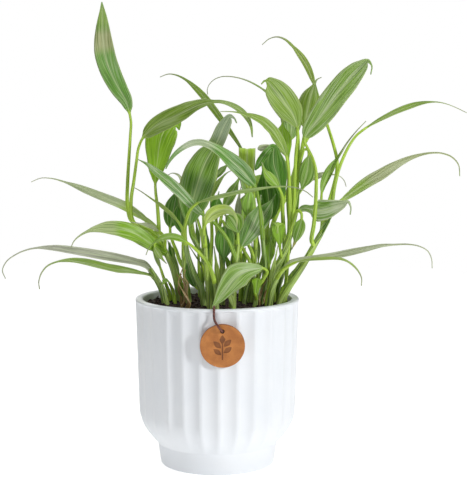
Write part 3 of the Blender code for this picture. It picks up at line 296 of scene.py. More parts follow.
class SmoothLine:
    # a smooth curve through points, read by the distance along it
    def __init__(self, points, steps=10):
        gaps = [(b - a).length for a, b in zip(points, points[1:])]
        slopes = [(b - a) / gap for a, b, gap in zip(points, points[1:], gaps)]
        tangents = [slopes[0]]
        for i in range(1, len(points) - 1):
            near, far = gaps[i - 1], gaps[i]
            tangents.append((slopes[i - 1] * far + slopes[i] * near) / (near + far))
        tangents.append(slopes[-1])
        self.places, self.knots = [points[0]], [0]
        for i, gap in enumerate(gaps):
            for step in range(1, steps + 1):
                ends = points[i], points[i + 1], tangents[i], tangents[i + 1]
                self.places.append(curved(*ends, gap, step / steps))
            self.knots.append(len(self.places) - 1)
        self.lengths = [0.0]
        for a, b in zip(self.places, self.places[1:]):
            self.lengths.append(self.lengths[-1] + (b - a).length)
        self.length = self.lengths[-1]

    def distanceTo(self, pointIndex):
        return self.lengths[self.knots[pointIndex]]

    def at(self, distance):
        distance = clamped(distance, 0.0, self.length)
        i = int(clamped(bisect.bisect_right(self.lengths, distance) - 1, 0, len(self.places) - 2))
        share = (distance - self.lengths[i]) / (self.lengths[i + 1] - self.lengths[i])
        return self.places[i].lerp(self.places[i + 1], share)

    def along(self, distance, step=0.001):
        return (self.at(distance + step) - self.at(distance - step)).normalized()

    def stations(self, start, end, spacing, least, bendStep=math.radians(38)):
        # distances after start and up to end, closer together where the line bends
        samples = 40
        step = (end - start) / samples
        headings = [self.along(start + step * i) for i in range(samples + 1)]
        sums = [0.0]
        for a, b in zip(headings, headings[1:]):
            sums.append(sums[-1] + step / spacing + a.angle(b) / bendStep)
        count = max(least, round(sums[-1]))
        found = []
        for k in range(1, count + 1):
            wanted = sums[-1] * k / count
            i = min(bisect.bisect_left(sums, wanted), samples)
            share = (wanted - sums[i - 1]) / (sums[i] - sums[i - 1])
            found.append(start + step * (i - 1 + share))
        return found


def laceRoute():
    # from the soil up the inner wall, over the rim and the tag's edge, and through its hole
    x, bend = laceForm["x"], laceForm["bendRadius"]
    middle, spring = -(rim["radius"] - rim["wall"] / 2), rim["height"] - laceForm["bendBelowRim"]
    aside, above = laceForm["start"]
    route = [Vector((x + aside, middle + bend, soilHeight + above))]
    for i in range(7):
        angle = math.pi * i / 6
        route.append(Vector((x, middle + bend * math.cos(angle), spring + bend * math.sin(angle))))
    lean = Vector((0, -math.sin(tagForm["lean"]), math.cos(tagForm["lean"])))
    hole = tagForm["centre"] + lean * tagForm["holeUp"]
    return route + [hole + Vector(offset) for offset in laceForm["run"]]


def waxedCord():
    # waxed cotton cord: dark brown fibres, a low sheen where the wax lies on the strands
    made, tree, shader = newMaterial("waxed_cotton_cord", Roughness=0.55, Sheen_Weight=0.15)
    place = objectPlace(tree)
    waveLength = 0.314  # metres between the bands of a wave texture whose scale is 1
    strand = addNode(tree, "TexWave", {"wave_type": "BANDS", "bands_direction": "DIAGONAL"}, {
        "Vector": place, "Scale": waveLength / (laceForm["strandPitch"] * mm), "Distortion": 0.6,
    }).outputs["Fac"]
    height = addMath(tree, "MULTIPLY_ADD", addNoise(tree, place, 1400.0, 3.0), 0.35, strand)
    colourBy(tree, shader, height, [(0.15, "#3A1A15"), (0.7, "#633029"), (1.0, "#7C463A")])
    addBump(tree, shader, 0.6, 0.00012, height)
    return made


def cordThrough(places, name, radius, roundness, material):
    # a round cord with closed ends
    curve = bpy.data.curves.new(name, "CURVE")
    curve.dimensions = "3D"
    curve.bevel_depth = radius
    curve.bevel_resolution = roundness
    curve.use_fill_caps = True
    spline = curve.splines.new("POLY")
    spline.points.add(len(places) - 1)
    for point, place in zip(spline.points, places):
        point.co = (*place, 1)
    spline.use_smooth = True
    curve.materials.append(material)
    return linked(name, curve)


def makeLace():
    line = SmoothLine(laceRoute())
    count = round(line.length / (laceForm["step"] * laceForm["diameter"]))
    places = [line.at(line.length * i / count) for i in range(count + 1)]
    cord = waxedCord()
    lace = cordThrough(places, "lace_cord", laceForm["diameter"] / 2, 4, cord)
    # the stop knot behind the tag: turns of the same cord, drawn tight
    turns = []
    end = laceRoute()[-1] + Vector((0, knotForm["gap"] + knotForm["radius"] * knotForm["cord"], 0))
    middle, sway = knotForm["reach"]
    for i in range(knotForm["steps"] + 1):
        angle = math.tau * knotForm["turns"] * i / knotForm["steps"]
        reach = knotForm["radius"] * (middle + sway * math.cos(1.5 * angle))
        turns.append(end + Vector((
            reach * math.cos(angle), knotForm["rise"] * math.sin(1.5 * angle), reach * math.sin(angle),
        )))
    knot = cordThrough(turns, "stop_knot", laceForm["diameter"] * knotForm["cord"], 3, cord)
    return lace, knot, line


lace, knot, laceLine = makeLace()
settle(lace, "brown_cord", "lace")
settle(knot, "brown_cord", "lace_knot")
print("lace length", round(laceLine.length, 5))


def tanLeather(name, light, dark):
    # vegetable-tanned cowhide: warm tan, fine pebbled grain, a soft shine on the high spots
    made, tree, shader = newMaterial(name, Roughness=0.52)
    place = objectPlace(tree)
    # grain cells of 0.5 mm, a little coarser than real ones so that they show
    grain = addNode(tree, "TexVoronoi", inputs={"Vector": place, "Scale": 1 / (0.5 * mm)})
    grain = grain.outputs["Distance"]
    both = addMath(tree, "MULTIPLY_ADD", grain, -0.18, addNoise(tree, place, 120.0, 4.0))
    colourBy(tree, shader, both, [(0.25, dark), (0.62, light)])
    addBump(tree, shader, 0.35, 0.0001, grain)
    return made


sprig = {
    "depth": 0.0004,
    "stem": (0.0011, 0.0180, -0.0025),  # width, height, middle's height from the middle of the tag
    "point": 0.35,  # less makes blunter leaves
    # leaves as (x, y, turn in degrees, length, width), mm from the middle of the tag
    "leaves": [
        (0.0, 5.6, 0, 7.4, 4.6), (4.1, 2.7, -46, 8.4, 4.6), (-4.1, 1.2, 46, 8.4, 4.6),
        (4.2, -3.2, -52, 8.0, 4.4), (-4.1, -4.8, 52, 7.8, 4.2),
    ],
}


def leafPrism(bm, x, y, turn, length, width, depth):
    # a pointed oval, raised to a prism that cuts the tag's face
    made = bmesh.ops.create_circle(bm, cap_ends=True, segments=20, radius=1)["verts"]
    for vert in made:
        side, up = vert.co.x, vert.co.y
        vert.co = (side * width / 2 * (1 - abs(up)) ** sprig["point"], up * length / 2, 0)
    faces = list({f for v in made for f in v.link_faces})
    grown = bmesh.ops.extrude_face_region(bm, geom=faces)["geom"]
    lifted = [g for g in grown if isinstance(g, bmesh.types.BMVert)]
    bmesh.ops.translate(bm, verts=lifted, vec=(0, 0, 2 * depth))
    both = made + lifted
    bmesh.ops.rotate(bm, verts=both, cent=(0, 0, 0), matrix=Matrix.Rotation(math.radians(turn), 3, "Z"))
    bmesh.ops.translate(bm, verts=both, vec=(x, y, tagForm["thickness"] / 2 - depth))


def cutFrom(obj, cutters):
    # takes the cutters out of the mesh for good, and leaves their materials on the cut faces
    for cutter in cutters:
        step = obj.modifiers.new("cut", "BOOLEAN")
        step.operation = "DIFFERENCE"
        step.object = cutter
        step.solver = "EXACT"
        step.material_mode = "TRANSFER"
        step.use_self = True
    bpy.context.view_layer.update()
    graph = bpy.context.evaluated_depsgraph_get()
    result = bpy.data.meshes.new_from_object(obj.evaluated_get(graph))
    obj.modifiers.clear()
    obj.data = result
    for cutter in cutters:
        bpy.data.objects.remove(cutter)


def makeTag():
    leather = tanLeather("tan_leather", "#C8823F", "#A9662C")
    pressed = tanLeather("debossed_leather", "#935827", "#74411B")
    edge = tanLeather("burnished_leather_edge", "#9A5A28", "#75401C")
    bm = bmesh.new()
    radius, thickness = tagForm["radius"], tagForm["thickness"]
    bmesh.ops.create_cone(bm, cap_ends=True, segments=96, radius1=radius, radius2=radius, depth=thickness)
    rims = [e for e in bm.edges if len({round(v.co.z, 6) for v in e.verts}) == 1]
    bmesh.ops.bevel(
        bm, geom=rims, offset=tagForm["edgeRound"], segments=4, profile=0.5, affect="EDGES", material=-1,
    )
    for face in bm.faces:
        face.material_index = 2 if abs(face.normal.z) < 0.6 else 0
    tag = newObject(bm, "leather_tag", [leather, pressed, edge])
    punch, hole = bmesh.new(), tagForm["holeRadius"]
    bmesh.ops.create_cone(
        punch, cap_ends=True, segments=40, radius1=hole, radius2=hole, depth=4 * thickness,
    )
    bmesh.ops.translate(punch, verts=punch.verts, vec=(0, tagForm["holeUp"], 0))
    press = bmesh.new()
    for x, y, turn, length, width in sprig["leaves"]:
        leafPrism(press, x * mm, y * mm, turn, length * mm, width * mm, sprig["depth"])
    stalk = bmesh.ops.create_cube(press, size=1)["verts"]
    width, height, up = sprig["stem"]
    bmesh.ops.scale(press, verts=stalk, vec=(width, height, 2 * sprig["depth"]))
    bmesh.ops.translate(press, verts=stalk, vec=(0, up, thickness / 2))
    bmesh.ops.recalc_face_normals(press, faces=press.faces)
    holes = [newObject(punch, "punch", [edge]), newObject(press, "press", [pressed])]
    cutFrom(tag, holes)
    place = Matrix.Translation(tagForm["centre"])
    tag.data.transform(place @ Matrix.Rotation(math.radians(90) + tagForm["lean"], 4, "X"))
    for face in tag.data.polygons:
        face.use_smooth = face.material_index == 2  # the pressed face stays crisp
    return tag


tag = settle(makeTag(), "tan_leather", "tag")


potForm = {
    "height": rim["height"],
    "rimRadius": rim["radius"],
    "shoulderRadius": 0.0673,
    "shoulderHeight": 0.0464,
    "shoulderEase": 1.8,
    "footHeight": 0.0185,
    "footRadius": 0.0515,
    "baseRadius": 0.0490,
    "edgeRound": 0.0014,
    "outerRing": 0.004,  # width of the outermost faces of its flat underside
    "corner": 0.0006,  # height in which the foot turns into the shoulder
    "lip": 0.0018,
    "fluteEnd": 0.0012,  # height in which a flute runs out below the lip
    "fluteFade": 0.6,  # less keeps flutes deep further down the shoulder
    "plain": 0.0003,  # height of plain wall over the flutes' ends, under the rounded edge
    "flutes": 28,
    "fluteDepth": 0.0018,
    "fluteRound": 2.0,  # 2 is a round hollow, more is flatter with steeper sides
    "ridgeShare": 0.15,
    "fluteTurn": math.radians(1.9),  # how far right of the front the first ridge stands
    "columnsPerFlute": 20,
    "mouth": (0.1395, 0.135),  # heights on the inner wall where it is as wide as the mouth
    # the inner wall below that, as (radius, height), down to the middle of the floor
    "bowl": [(0.0615, 0.0500), (0.0595, 0.0370), (0.0540, 0.0260), (0.0455, 0.0165), (0.040, 0.012),
             (0.0, 0.012)],
}


def potRadius(height):
    p = potForm
    if height < p["footHeight"]:
        return between(p["baseRadius"], p["footRadius"], height / p["footHeight"])
    if height < p["shoulderHeight"]:
        fall = (p["shoulderHeight"] - height) / (p["shoulderHeight"] - p["footHeight"])
        return between(p["footRadius"], p["shoulderRadius"], 1 - fall ** p["shoulderEase"])
    rise = (height - p["shoulderHeight"]) / (p["height"] - p["shoulderHeight"])
    return between(p["shoulderRadius"], p["rimRadius"], rise)


def fluteShare(height):
    # how deep the flutes are at this height: none on the lip and the foot
    p = potForm
    if height < p["footHeight"]:
        return 0.0
    below = clamped((p["height"] - p["lip"] - height) / p["fluteEnd"])
    spread = (potRadius(height) - p["footRadius"]) / (p["shoulderRadius"] - p["footRadius"])
    return smooth(below) * clamped(spread) ** p["fluteFade"]


def rounded(steps):
    # the run in and the rise of a rounded edge, from its side to its top
    for i in range(steps + 1):
        turn = math.pi / 2 * i / steps
        yield potForm["edgeRound"] * (1 - math.cos(turn)), potForm["edgeRound"] * math.sin(turn)


def outsideProfile():
    # from the middle of the underside out and up to the lip's top
    p, edge = potForm, potForm["edgeRound"]
    arc = [(0.0, 0.0), (p["baseRadius"] - edge - p["outerRing"], 0.0)]
    arc += [(p["baseRadius"] - edge + rise, run) for run, rise in rounded(6)]
    top = p["height"] - p["lip"] - p["fluteEnd"]
    for low, high, first, steps, ease in (
        (edge, p["footHeight"] - p["corner"], 1, 8, 1), (p["footHeight"], p["shoulderHeight"], 0, 24, 1.5),
        (p["shoulderHeight"], top, 1, 24, 1), (top, top + p["fluteEnd"] + p["plain"], 1, 6, 1),
    ):
        for i in range(first, steps + 1):
            height = between(low, high, (i / steps) ** ease)
            arc.append((potRadius(height), height))
    return arc + [(p["rimRadius"] - run, p["height"] - edge + rise) for run, rise in rounded(8)]


def insideProfile():
    # from the lip's top down the inner wall to the middle of the floor
    p, edge = potForm, potForm["edgeRound"]
    inner = p["rimRadius"] - rim["wall"]
    arc = [(inner + edge - rise, p["height"] - run) for run, rise in rounded(8)]
    return arc + [(inner, height) for height in p["mouth"]] + p["bowl"]


def satinGlaze():
    # satin white glaze on stoneware: cool white, softly glossy, with a faint unevenness of the dip
    made, tree, shader = newMaterial("satin_glazed_stoneware", Roughness=0.34, IOR=1.5)
    place = objectPlace(tree)
    cloud = addNoise(tree, place, 28.0, 3.0)
    colourBy(tree, shader, cloud, [(0.3, "#E8ECF1"), (0.7, "#EDF0F4")])
    addBump(tree, shader, 0.12, 0.0002, addNoise(tree, place, 420.0, 2.0))
    gloss = addRange(tree, cloud, (0.3, 0.7), (0.30, 0.40), "LINEAR")
    tree.links.new(gloss, shader.inputs["Roughness"])
    return made


def makePot():
    p = potForm
    bm = spun(outsideProfile() + insideProfile(), p["flutes"] * p["columnsPerFlute"])
    pitch = math.tau / p["flutes"]
    for vert in bm.verts:
        reach = math.hypot(vert.co.x, vert.co.y)
        if reach < potRadius(vert.co.z) - 0.0002:  # not on the outer wall
            continue
        # a rounded groove between flat ridges
        turn = (math.atan2(vert.co.y, vert.co.x) + math.pi / 2 - p["fluteTurn"]) / pitch % 1
        fromMiddle = abs(turn - 0.5) / (0.5 * (1 - p["ridgeShare"]))
        dip = p["fluteDepth"] * (1 - min(fromMiddle, 1) ** p["fluteRound"]) * fluteShare(vert.co.z)
        vert.co.x *= 1 - dip / reach
        vert.co.y *= 1 - dip / reach
    bmesh.ops.recalc_face_normals(bm, faces=bm.faces)
    return newObject(bm, "glazed_pot", [satinGlaze()])


settle(makePot(), "glazed_white", "pot")


soilForm = {
    "rings": 46,
    "turns": 132,
    "mound": 0.003,
    "lumps": ((0.0011, 90), (0.0009, 260), (0.0005, 700)),  # height, lumps to the metre
    # its hidden sides, as (radius, height), just inside the pot's floor and wall
    "bowl": [(0.0, 0.0123), (0.0397, 0.0123), (0.0452, 0.0168), (0.0537, 0.0263), (0.0592, 0.0373),
             (0.0612, 0.0500)],
    "gap": 0.0003,  # to the pot's wall
    "shoulder": (0.0002, 0.003),  # how far in, and down, its hidden side ends
    "topShare": 0.995,  # of its radius, where the top's rings start
    "flatRim": 0.125,  # share of the radius in which the large lumps die out at the wall
    "crumbs": 950,
    "crumbSize": (0.0005, 0.0017),
    "crumbPower": 2.5,  # more makes small crumbs commoner
    "crumbVary": (0.75, 1.25),
    "bare": 0.002,  # width along the wall that has no crumbs
    "crumbLift": 0.2,  # how far a crumb's middle stands over the soil, as a share of its size
    "fibres": 120,
    "fibreStretch": (4.5, 0.6, 0.5),
    "batch": 40,  # crumbs made at a time
}


def soilTop(x, y):
    reach = math.hypot(x, y) / (rim["radius"] - rim["wall"])
    height = soilHeight + soilForm["mound"] * (1 - reach * reach)
    spot = Vector((x, y, soilHeight))
    large, middling, small = (most * noise.noise(spot * scale) for most, scale in soilForm["lumps"])
    return height + large * clamped((1 - reach) / soilForm["flatRim"]) + (middling + small)


def dampPeat():
    # damp peat and fine bark: near black, broken by brown crumbs, no shine
    made, tree, shader = newMaterial("damp_peat", Roughness=0.92)
    place = objectPlace(tree)
    grains = addNode(tree, "TexVoronoi", inputs={"Vector": place, "Scale": 1 / (1.6 * mm)})
    cloud = addNoise(tree, place, 260.0, 5.0)
    both = addNode(tree, "Mix", {"data_type": "FLOAT"}, {0: 0.5, 2: grains.outputs["Color"], 3: cloud})
    colourBy(tree, shader, both.outputs[0], [
        (0.30, "#1C1210"), (0.52, "#2F1F1B"), (0.68, "#4A332A"), (0.80, "#6E5040"),
    ])
    addBump(tree, shader, 0.9, 0.0005, cloud)
    return made


def makeSoil():
    rng = random.Random(5)
    edge = rim["radius"] - rim["wall"] - soilForm["gap"]
    inward, down = soilForm["shoulder"]
    profile = soilForm["bowl"] + [(edge - inward, soilHeight - down)]
    for i in range(soilForm["rings"], -1, -1):
        profile.append((edge * soilForm["topShare"] * i / soilForm["rings"], soilHeight))
    bm = spun(profile, soilForm["turns"])
    for vert in bm.verts:
        if vert.co.z > soilHeight - down / 2:
            vert.co.z = soilTop(vert.co.x, vert.co.y)
    bmesh.ops.recalc_face_normals(bm, faces=bm.faces)
    small, large = soilForm["crumbSize"]
    batch = bmesh.new()
    for i in range(soilForm["crumbs"] + soilForm["fibres"]):
        reach = (edge - soilForm["bare"]) * math.sqrt(rng.random())
        turn = rng.random() * math.tau
        x, y = reach * math.cos(turn), reach * math.sin(turn)
        size = between(small, large, rng.random() ** soilForm["crumbPower"])
        stretch = (1, 1, 1) if i < soilForm["crumbs"] else soilForm["fibreStretch"]
        crumb = bmesh.ops.create_icosphere(batch, subdivisions=1, radius=size)["verts"]
        for vert in crumb:
            vert.co *= between(*soilForm["crumbVary"], rng.random())
            vert.co = Vector(a * b for a, b in zip(vert.co, stretch))
        spin = Matrix.Rotation(rng.random() * math.tau, 3, "Z")
        spin @= Matrix.Rotation(rng.uniform(-0.5, 0.5), 3, "Y")
        bmesh.ops.rotate(batch, verts=crumb, cent=(0, 0, 0), matrix=spin)
        bmesh.ops.translate(batch, verts=crumb, vec=(x, y, soilTop(x, y) + soilForm["crumbLift"] * size))
        if (i + 1) % soilForm["batch"] == 0:
            joinTo(bm, batch)
            batch = bmesh.new()
    joinTo(bm, batch)
    return newObject(bm, "peat_soil", [dampPeat()])


settle(makeSoil(), "potting_soil", "soil")


bladeForm = {
    "thickness": 0.0007,
    "ribThickness": 0.0010,
    "thread": (0.0014, 0.0004),  # half the width of a leaf's thread-like tip, at its start and end
    "threadMost": 0.4,  # of the leaf's own half width, at the thread's start
    "leastSeen": 0.5,  # a blade is taken to be at most this much foreshortened
    "fold": (0.16, 0.1, 0.5),  # slope of a blade's halves from its rib, rounding, where it is level
    "pleats": 3,  # lengthwise ridges on each half
    "pleat": 0.00016,  # their height
    "pleatMost": 0.09,  # of the half width
    "pleatFade": 0.4,  # how much lower they are at the margins
    "wave": 0.045,  # how far the margins rise and fall, as a share of the half width
    "waves": (1.6, 3.0),  # fewest and most along a blade
    "fullHalf": 0.0025,  # half width from which a blade has all its pleats and waves
    "flatBy": 0.06,  # share of the blade in which its round stalk flattens out
    "sheathRadius": 0.0020,  # of a leaf stalk where it leaves the stem
    "stalkRadius": 0.0011,  # of a leaf stalk at its blade
    "sunk": 0.006,  # how far down inside the stem a leaf stalk starts
    "points": 28,  # round a blade
    "bladeStep": 0.0022,
    "stalkStep": 0.0035,
    "solidSteps": (0.045, 0.024, 0.030),  # spacing of the solids' rings on stalk, blade and thread
    "tailColour": (0.08, 0.16, 0.75),  # where it starts before the thread, its fade, its strength
    "tintFade": 0.08,  # share of the blade in which each tinted stretch fades in and out, painted shade and painted sheen among them
}
stemForm = {
    "rootDepth": 0.018,
    "collar": 0.0015,  # where it comes out, over the soil's edge
    "upright": 0.003,  # how far it runs straight on above that
    "footSwell": 1.2,
    "topTaper": 0.8,
    "mostLean": math.radians(20),
    "points": 24,
    "step": 0.0030,
    "sheaths": 3,  # rolled edges seen round a stem
    "ribs": 0.14,  # depth of the creases between them, as a share of the radius
    "sheathStep": (0.035, 0.003),  # how much thinner above each leaf, in what length
    "streaks": (0.45, 1.6),  # silver, dark
    "cap": ((0.0006, 0.85), (0.0009, 0.45)),  # its rounded top: rise, share of the radius
    "paleFoot": (0.01, 0.03),  # distances between which the foot's colour fades
}
sproutForm = {
    "collar": 0.001,  # where a sprout comes out, over the soil's edge
    "rootDepth": 0.004,
}
eye = Vector(photoView["place"])
faceUp = Vector((0.0, -0.45, 1.0))
faceFront = Vector((0.0, -1.0, 0.35))
faceLeft = Vector((-0.6, -0.7, 0.4))
faceRight = Vector((0.6, -0.7, 0.4))

# upper side, underside, silver streaks and dark streaks of each kind of leaf
leafLooks = {
    "fresh": ("#84B01E", "#A0C04E", 0.20, 0.65),
    "bright": ("#8DBC20", "#A6CA4C", 0.05, 0.55),
    "lime": ("#ACCE42", "#BED664", 0.40, 0.45),
    # painted light: a lime made paler, for the front arching leaf that is seen on its side in shade
    "shadeBrightened": ("#CBE46A", "#D4EA88", 0.45, 0.45),
    "leafy": ("#86AC46", "#A4C070", 0.60, 0.70),
    "cool": ("#6A9E3C", "#8FB464", 0.40, 0.70),
    "vivid": ("#6FA812", "#8FC03E", 0.15, 0.75),
    "mid": ("#76A02E", "#98B659", 0.30, 0.80),
    "deep": ("#4E880A", "#74A22E", 0.16, 0.75),
    "olive": ("#84A534", "#A4B860", 0.35, 0.65),
    "silvery": ("#AEB690", "#BCC4A2", 0.90, 0.60),
    "striped": ("#68993A", "#90B05A", 0.75, 0.75),
    "banded": ("#78A03C", "#98B664", 1.00, 0.80),
    "pale": ("#A2BE52", "#B4CA74", 0.30, 0.45),
    "dry": ("#A07C50", "#B0926A", 0.10, 0.80),
}
stalkGreen = {
    "stem": "#AACA32", "foot": "#B0C65C", "stalk": "#B0D242", "tail": "#A3A38C", "shady": "#6F9A26",
}


def leaf(look, at, seen, stalk, blade, depth, face=faceFront, tipFace=None, tail=0.1, widest=0.5,
         foot=0.0, outline=None):
    # look: a name in leafLooks. at: where its stalk leaves the stem, as a share of the stem.
    # seen: half its width as seen from the front, in mm. stalk, blade: its middle line, as (x, z)
    # or (x, z, depth) in mm on the plane through the pot's axis. depth: of the blade's two ends.
    # face: where its upper side looks, and tipFace at its tip. tail: share that is the thread-like
    # tip. widest: where the rest is widest, as a share of it. foot: share of its width that its
    # base keeps. outline: (share along, half width) for odd shapes, in place of the last three.
    return {
        "look": look, "at": at, "seen": seen, "stalk": stalk, "blade": blade, "depth": depth,
        "faces": (face, tipFace or face), "tail": tail, "widest": widest, "foot": foot, "outline": outline,
    }


def addShoot(name, root, radius, stem, leaves):
    # root: (x, y) in the soil, mm. radius: of its stem, mm. stem: its line, as (x, z, depth)
    shoots[name] = {"root": root, "radius": radius, "stem": stem, "leaves": leaves}


def sprout(root, look, *shape, **more):
    # a leaf that comes straight out of the soil at root, (x, y) in mm
    return root, leaf(look, 0, *shape, **more)


shoots = {}

addShoot("shoot_left_low", (-43, -13), 2.9, [(-47.5, 150, -14), (-53, 160, -15), (-57.5, 167, -16)], [
    leaf("silvery", 0.9, 3.7, [(-62, 171)],
        [(-68, 172.8), (-85, 176.4), (-100, 179), (-120, 182.4), (-140, 185.2), (-158, 185), (-172, 180),
        (-181, 173), (-184, 166), (-181.5, 159)], (-18, -48), face=faceUp, tail=0.24, widest=0.46,
        foot=0.75),
    leaf("olive", 0.72, 4.2, [(-56, 161)],
        [(-62, 163.2), (-72, 165.2), (-90, 167.6), (-100, 170), (-112, 172.8), (-125, 174.6),
        (-138, 173.3), (-146, 169.5), (-151, 163), (-153, 156), (-152.5, 150)], (-24, -92), face=faceUp,
        tail=0.22, widest=0.44, foot=0.6),
])
addShoot("shoot_left", (-31, 4), 2.5, [(-33.3, 150, 3), (-35.5, 160, 3), (-38.5, 170, 2), (-43, 180, 0),
    (-47.5, 189, -2), (-51, 197, -3)], [
    leaf("cool", 0.92, 8.8, [(-58, 201, -4), (-68, 205, -1), (-73.8, 210, 4), (-76.4, 222), (-76.2, 240),
        (-75, 260), (-73.6, 280), (-73, 294)],
        [(-73.8, 299), (-76.5, 310), (-82.4, 320), (-89.4, 334), (-94, 348), (-95.6, 360), (-96, 372),
        (-96, 383), (-96.5, 393)], (10, 34),
        outline=[(0, 1.6), (0.06, 3.8), (0.15, 6.2), (0.3, 8.2), (0.45, 9), (0.55, 9), (0.65, 8.2),
        (0.76, 6.4), (0.86, 4.2), (0.94, 2), (1, 0.5)]),
    leaf("olive", 0.86, 6.8, [(-57, 196, -8), (-66, 201.5, -9), (-72, 209, -6), (-73.4, 225, -2),
        (-70.8, 243), (-68.4, 260), (-66.6, 271)],
        [(-63.8, 277.8), (-57, 285.4), (-48.6, 291.3), (-40.2, 295.4), (-31.7, 299.4), (-23.2, 303.5),
        (-14.7, 307.2), (-6.2, 309.3), (2.4, 309.8), (12.8, 306.8), (20.2, 302), (25.4, 296.2),
        (28.8, 288.8), (29.8, 280)], (2, -58), tipFace=faceUp,
        outline=[(0, 1.5), (0.08, 4.6), (0.16, 6.3), (0.27, 6.8), (0.38, 6.5), (0.46, 5.2), (0.53, 3.5),
        (0.6, 1.6), (0.64, 1.6), (0.72, 2.3), (0.79, 2.6), (0.86, 2), (0.93, 1), (1, 0.4)]),
    leaf("bright", 0.93, 13.2, [(-50, 208, 0), (-51, 222, 2), (-52.3, 233)],
        [(-52.6, 240), (-52, 250), (-50.4, 262), (-48.6, 275), (-44.5, 286), (-38, 292.5), (-34, 292),
        (-32, 286)], (6, 26),
        outline=[(0, 1.5), (0.08, 3.4), (0.17, 6.4), (0.32, 9.4), (0.45, 11.7), (0.57, 13.2),
        (0.68, 12.8), (0.78, 9.8), (0.87, 6), (0.94, 2.8), (1, 0.5)]),
    leaf("pale", 0.9, 4.5, [(-53, 203, 4), (-58, 207.5, 9)],
        [(-63, 211), (-71, 216.2), (-80, 221.6), (-90, 225.9), (-100, 229.9), (-110, 234), (-120, 238.3),
        (-130, 242), (-140, 244.8), (-150, 245.2), (-158, 242)], (14, 66), face=faceUp, tail=0.18,
        widest=0.42, foot=0.5),
    leaf("fresh", 0.74, 6.4, [(-49, 183.5, -9)],
        [(-54.5, 187.4), (-62, 193), (-70, 197.6), (-80, 200.9), (-90, 202.4), (-100, 202), (-110, 199.8),
        (-117.4, 196), (-122.2, 191.6), (-125, 186)], (-16, -54), tipFace=faceUp, widest=0.36, foot=0.62),
    leaf("silvery", 0.8, 2.4, [(-45.6, 195.6, -10)],
        [(-50, 200), (-56, 203.4), (-64, 206), (-73, 207.6)], (-14, -22), face=faceUp, tail=0.2,
        widest=0.4),
    leaf("olive", 0.84, 2.8, [(-53, 190, -14)],
        [(-53.5, 186), (-50.5, 180.5), (-47, 176), (-43.5, 172)], (-19, -24), tail=0.16, widest=0.4),
])
addShoot("shoot_inner_left", (-24, -8), 2.3, [(-25.8, 150, -8), (-27.5, 163, -8), (-28.5, 176, -9),
    (-28.8, 188, -10)], [
    leaf("deep", 0.7, 8.0, [(-31.5, 173, -6), (-35, 183, -3), (-38.5, 192, 0), (-40, 198, 2)],
        [(-40.2, 202.5), (-39.2, 209), (-37.8, 216), (-36.2, 224), (-34.5, 232), (-32, 241)], (3, 12),
        tail=0.08, widest=0.4),
    leaf("deep", 0.9, 7.0, [(-29.4, 194, -8)],
        [(-30, 198), (-30.6, 204), (-31, 212), (-30.5, 222), (-29, 231)], (-7, -2), widest=0.45),
    leaf("pale", 0.93, 1.9, [(-29.4, 201, -14)],
        [(-33.5, 208), (-38.5, 213.5), (-43.5, 218), (-50, 223.3), (-58, 229), (-65, 234), (-71, 237.4)],
        (-16, -30), face=faceUp, tail=0.26, widest=0.4),
])
addShoot("shoot_crossing", (-10.5, -23.5), 2.6, [(-14, 150, -24), (-18.5, 160, -24.5), (-22.5, 170, -25),
    (-25.7, 180, -25.5), (-27.3, 191, -26)], [
    leaf("mid", 0.93, 2.2, [(-27.6, 201, -31), (-26, 210.5, -39), (-23, 218, -47)],
        [(-18, 223.2), (-9, 227), (0, 229.4), (10, 231.8), (20, 234), (30, 235.4), (40, 236.9), (50, 238),
        (60, 238), (70, 236.2), (76, 233.5), (81.5, 229)], (-51, -84), face=faceUp, tail=0.22,
        widest=0.35),
    leaf("deep", 0.42, 4.2, [],
        [(-18, 151.5), (-21.6, 158), (-24, 166), (-24.6, 175), (-24, 183)], (-22, -19), tail=0.12,
        widest=0.4),
])
addShoot("shoot_front_left", (-6, -33), 2.1, [(-8, 150, -33), (-9, 160, -33), (-9.6, 172, -33),
    (-10.2, 185, -35), (-11, 197, -39)], [
    # painted light: a paler look, since this leaf is seen on its side in shade
    leaf("shadeBrightened", 0.93, 5.0, [(-11, 203, -42)],
        [(-9.8, 206.5), (-7, 211.5), (-2.5, 215.7), (3.5, 218), (9, 218), (14, 215), (16.6, 209.5),
        (16.8, 203)], (-44, -64), tail=0.08, widest=0.34),
])
addShoot("shoot_front", (0, -43), 2.0, [(-1.2, 149, -43), (-2.8, 158, -44), (-5.2, 166, -45)], [
    leaf("fresh", 0.9, 2.9, [(-8.5, 173, -47), (-14, 179.8, -49), (-20, 185.8, -50)],
        [(-26, 190.2), (-33, 193.6), (-40, 195), (-47, 193.8), (-53, 190.5), (-58, 186), (-61, 179.5)],
        (-50, -46), face=faceUp, tail=0.16, widest=0.4),
])
addShoot("shoot_middle_left", (-4, -14), 2.2, [(-5, 150, -14), (-7, 163, -14), (-11, 175, -14),
    (-15.6, 184.5, -14), (-20, 192, -14)], [
    leaf("mid", 0.93, 14.4, [(-22.6, 197.5, -14)],
        [(-23.4, 203), (-22.8, 212), (-21, 224), (-18, 236), (-14.4, 247.5), (-10.2, 258), (-5, 267.5),
        (0.5, 277), (4.5, 286), (8.2, 293), (11.4, 297.4), (14.2, 296.2), (16.6, 291.8)], (-15, -4),
        outline=[(0, 1.6), (0.08, 6), (0.2, 12), (0.3, 13.4), (0.42, 13.2), (0.5, 11.6), (0.58, 9.4),
        (0.66, 6), (0.8, 5.6), (0.88, 4), (0.92, 2.2), (0.95, 0.9), (1, 0.5)]),
    leaf("silvery", 0.88, 3.4, [(-21, 203, 4)],
        [(-22, 214), (-24, 226), (-26.6, 236), (-30, 244), (-34, 248.4), (-38.5, 249.4), (-43, 247)],
        (10, 34), face=faceUp, tail=0.12, widest=0.4),
    leaf("olive", 0.5, 2.2, [(-5.5, 176, -8), (-4.5, 195, -2), (-5, 215, 3)],
        [(-4.4, 229), (-1.6, 237), (3, 244), (8, 249.4), (13, 252.2)], (6, 12), face=faceUp, tail=0.14,
        widest=0.4),
])
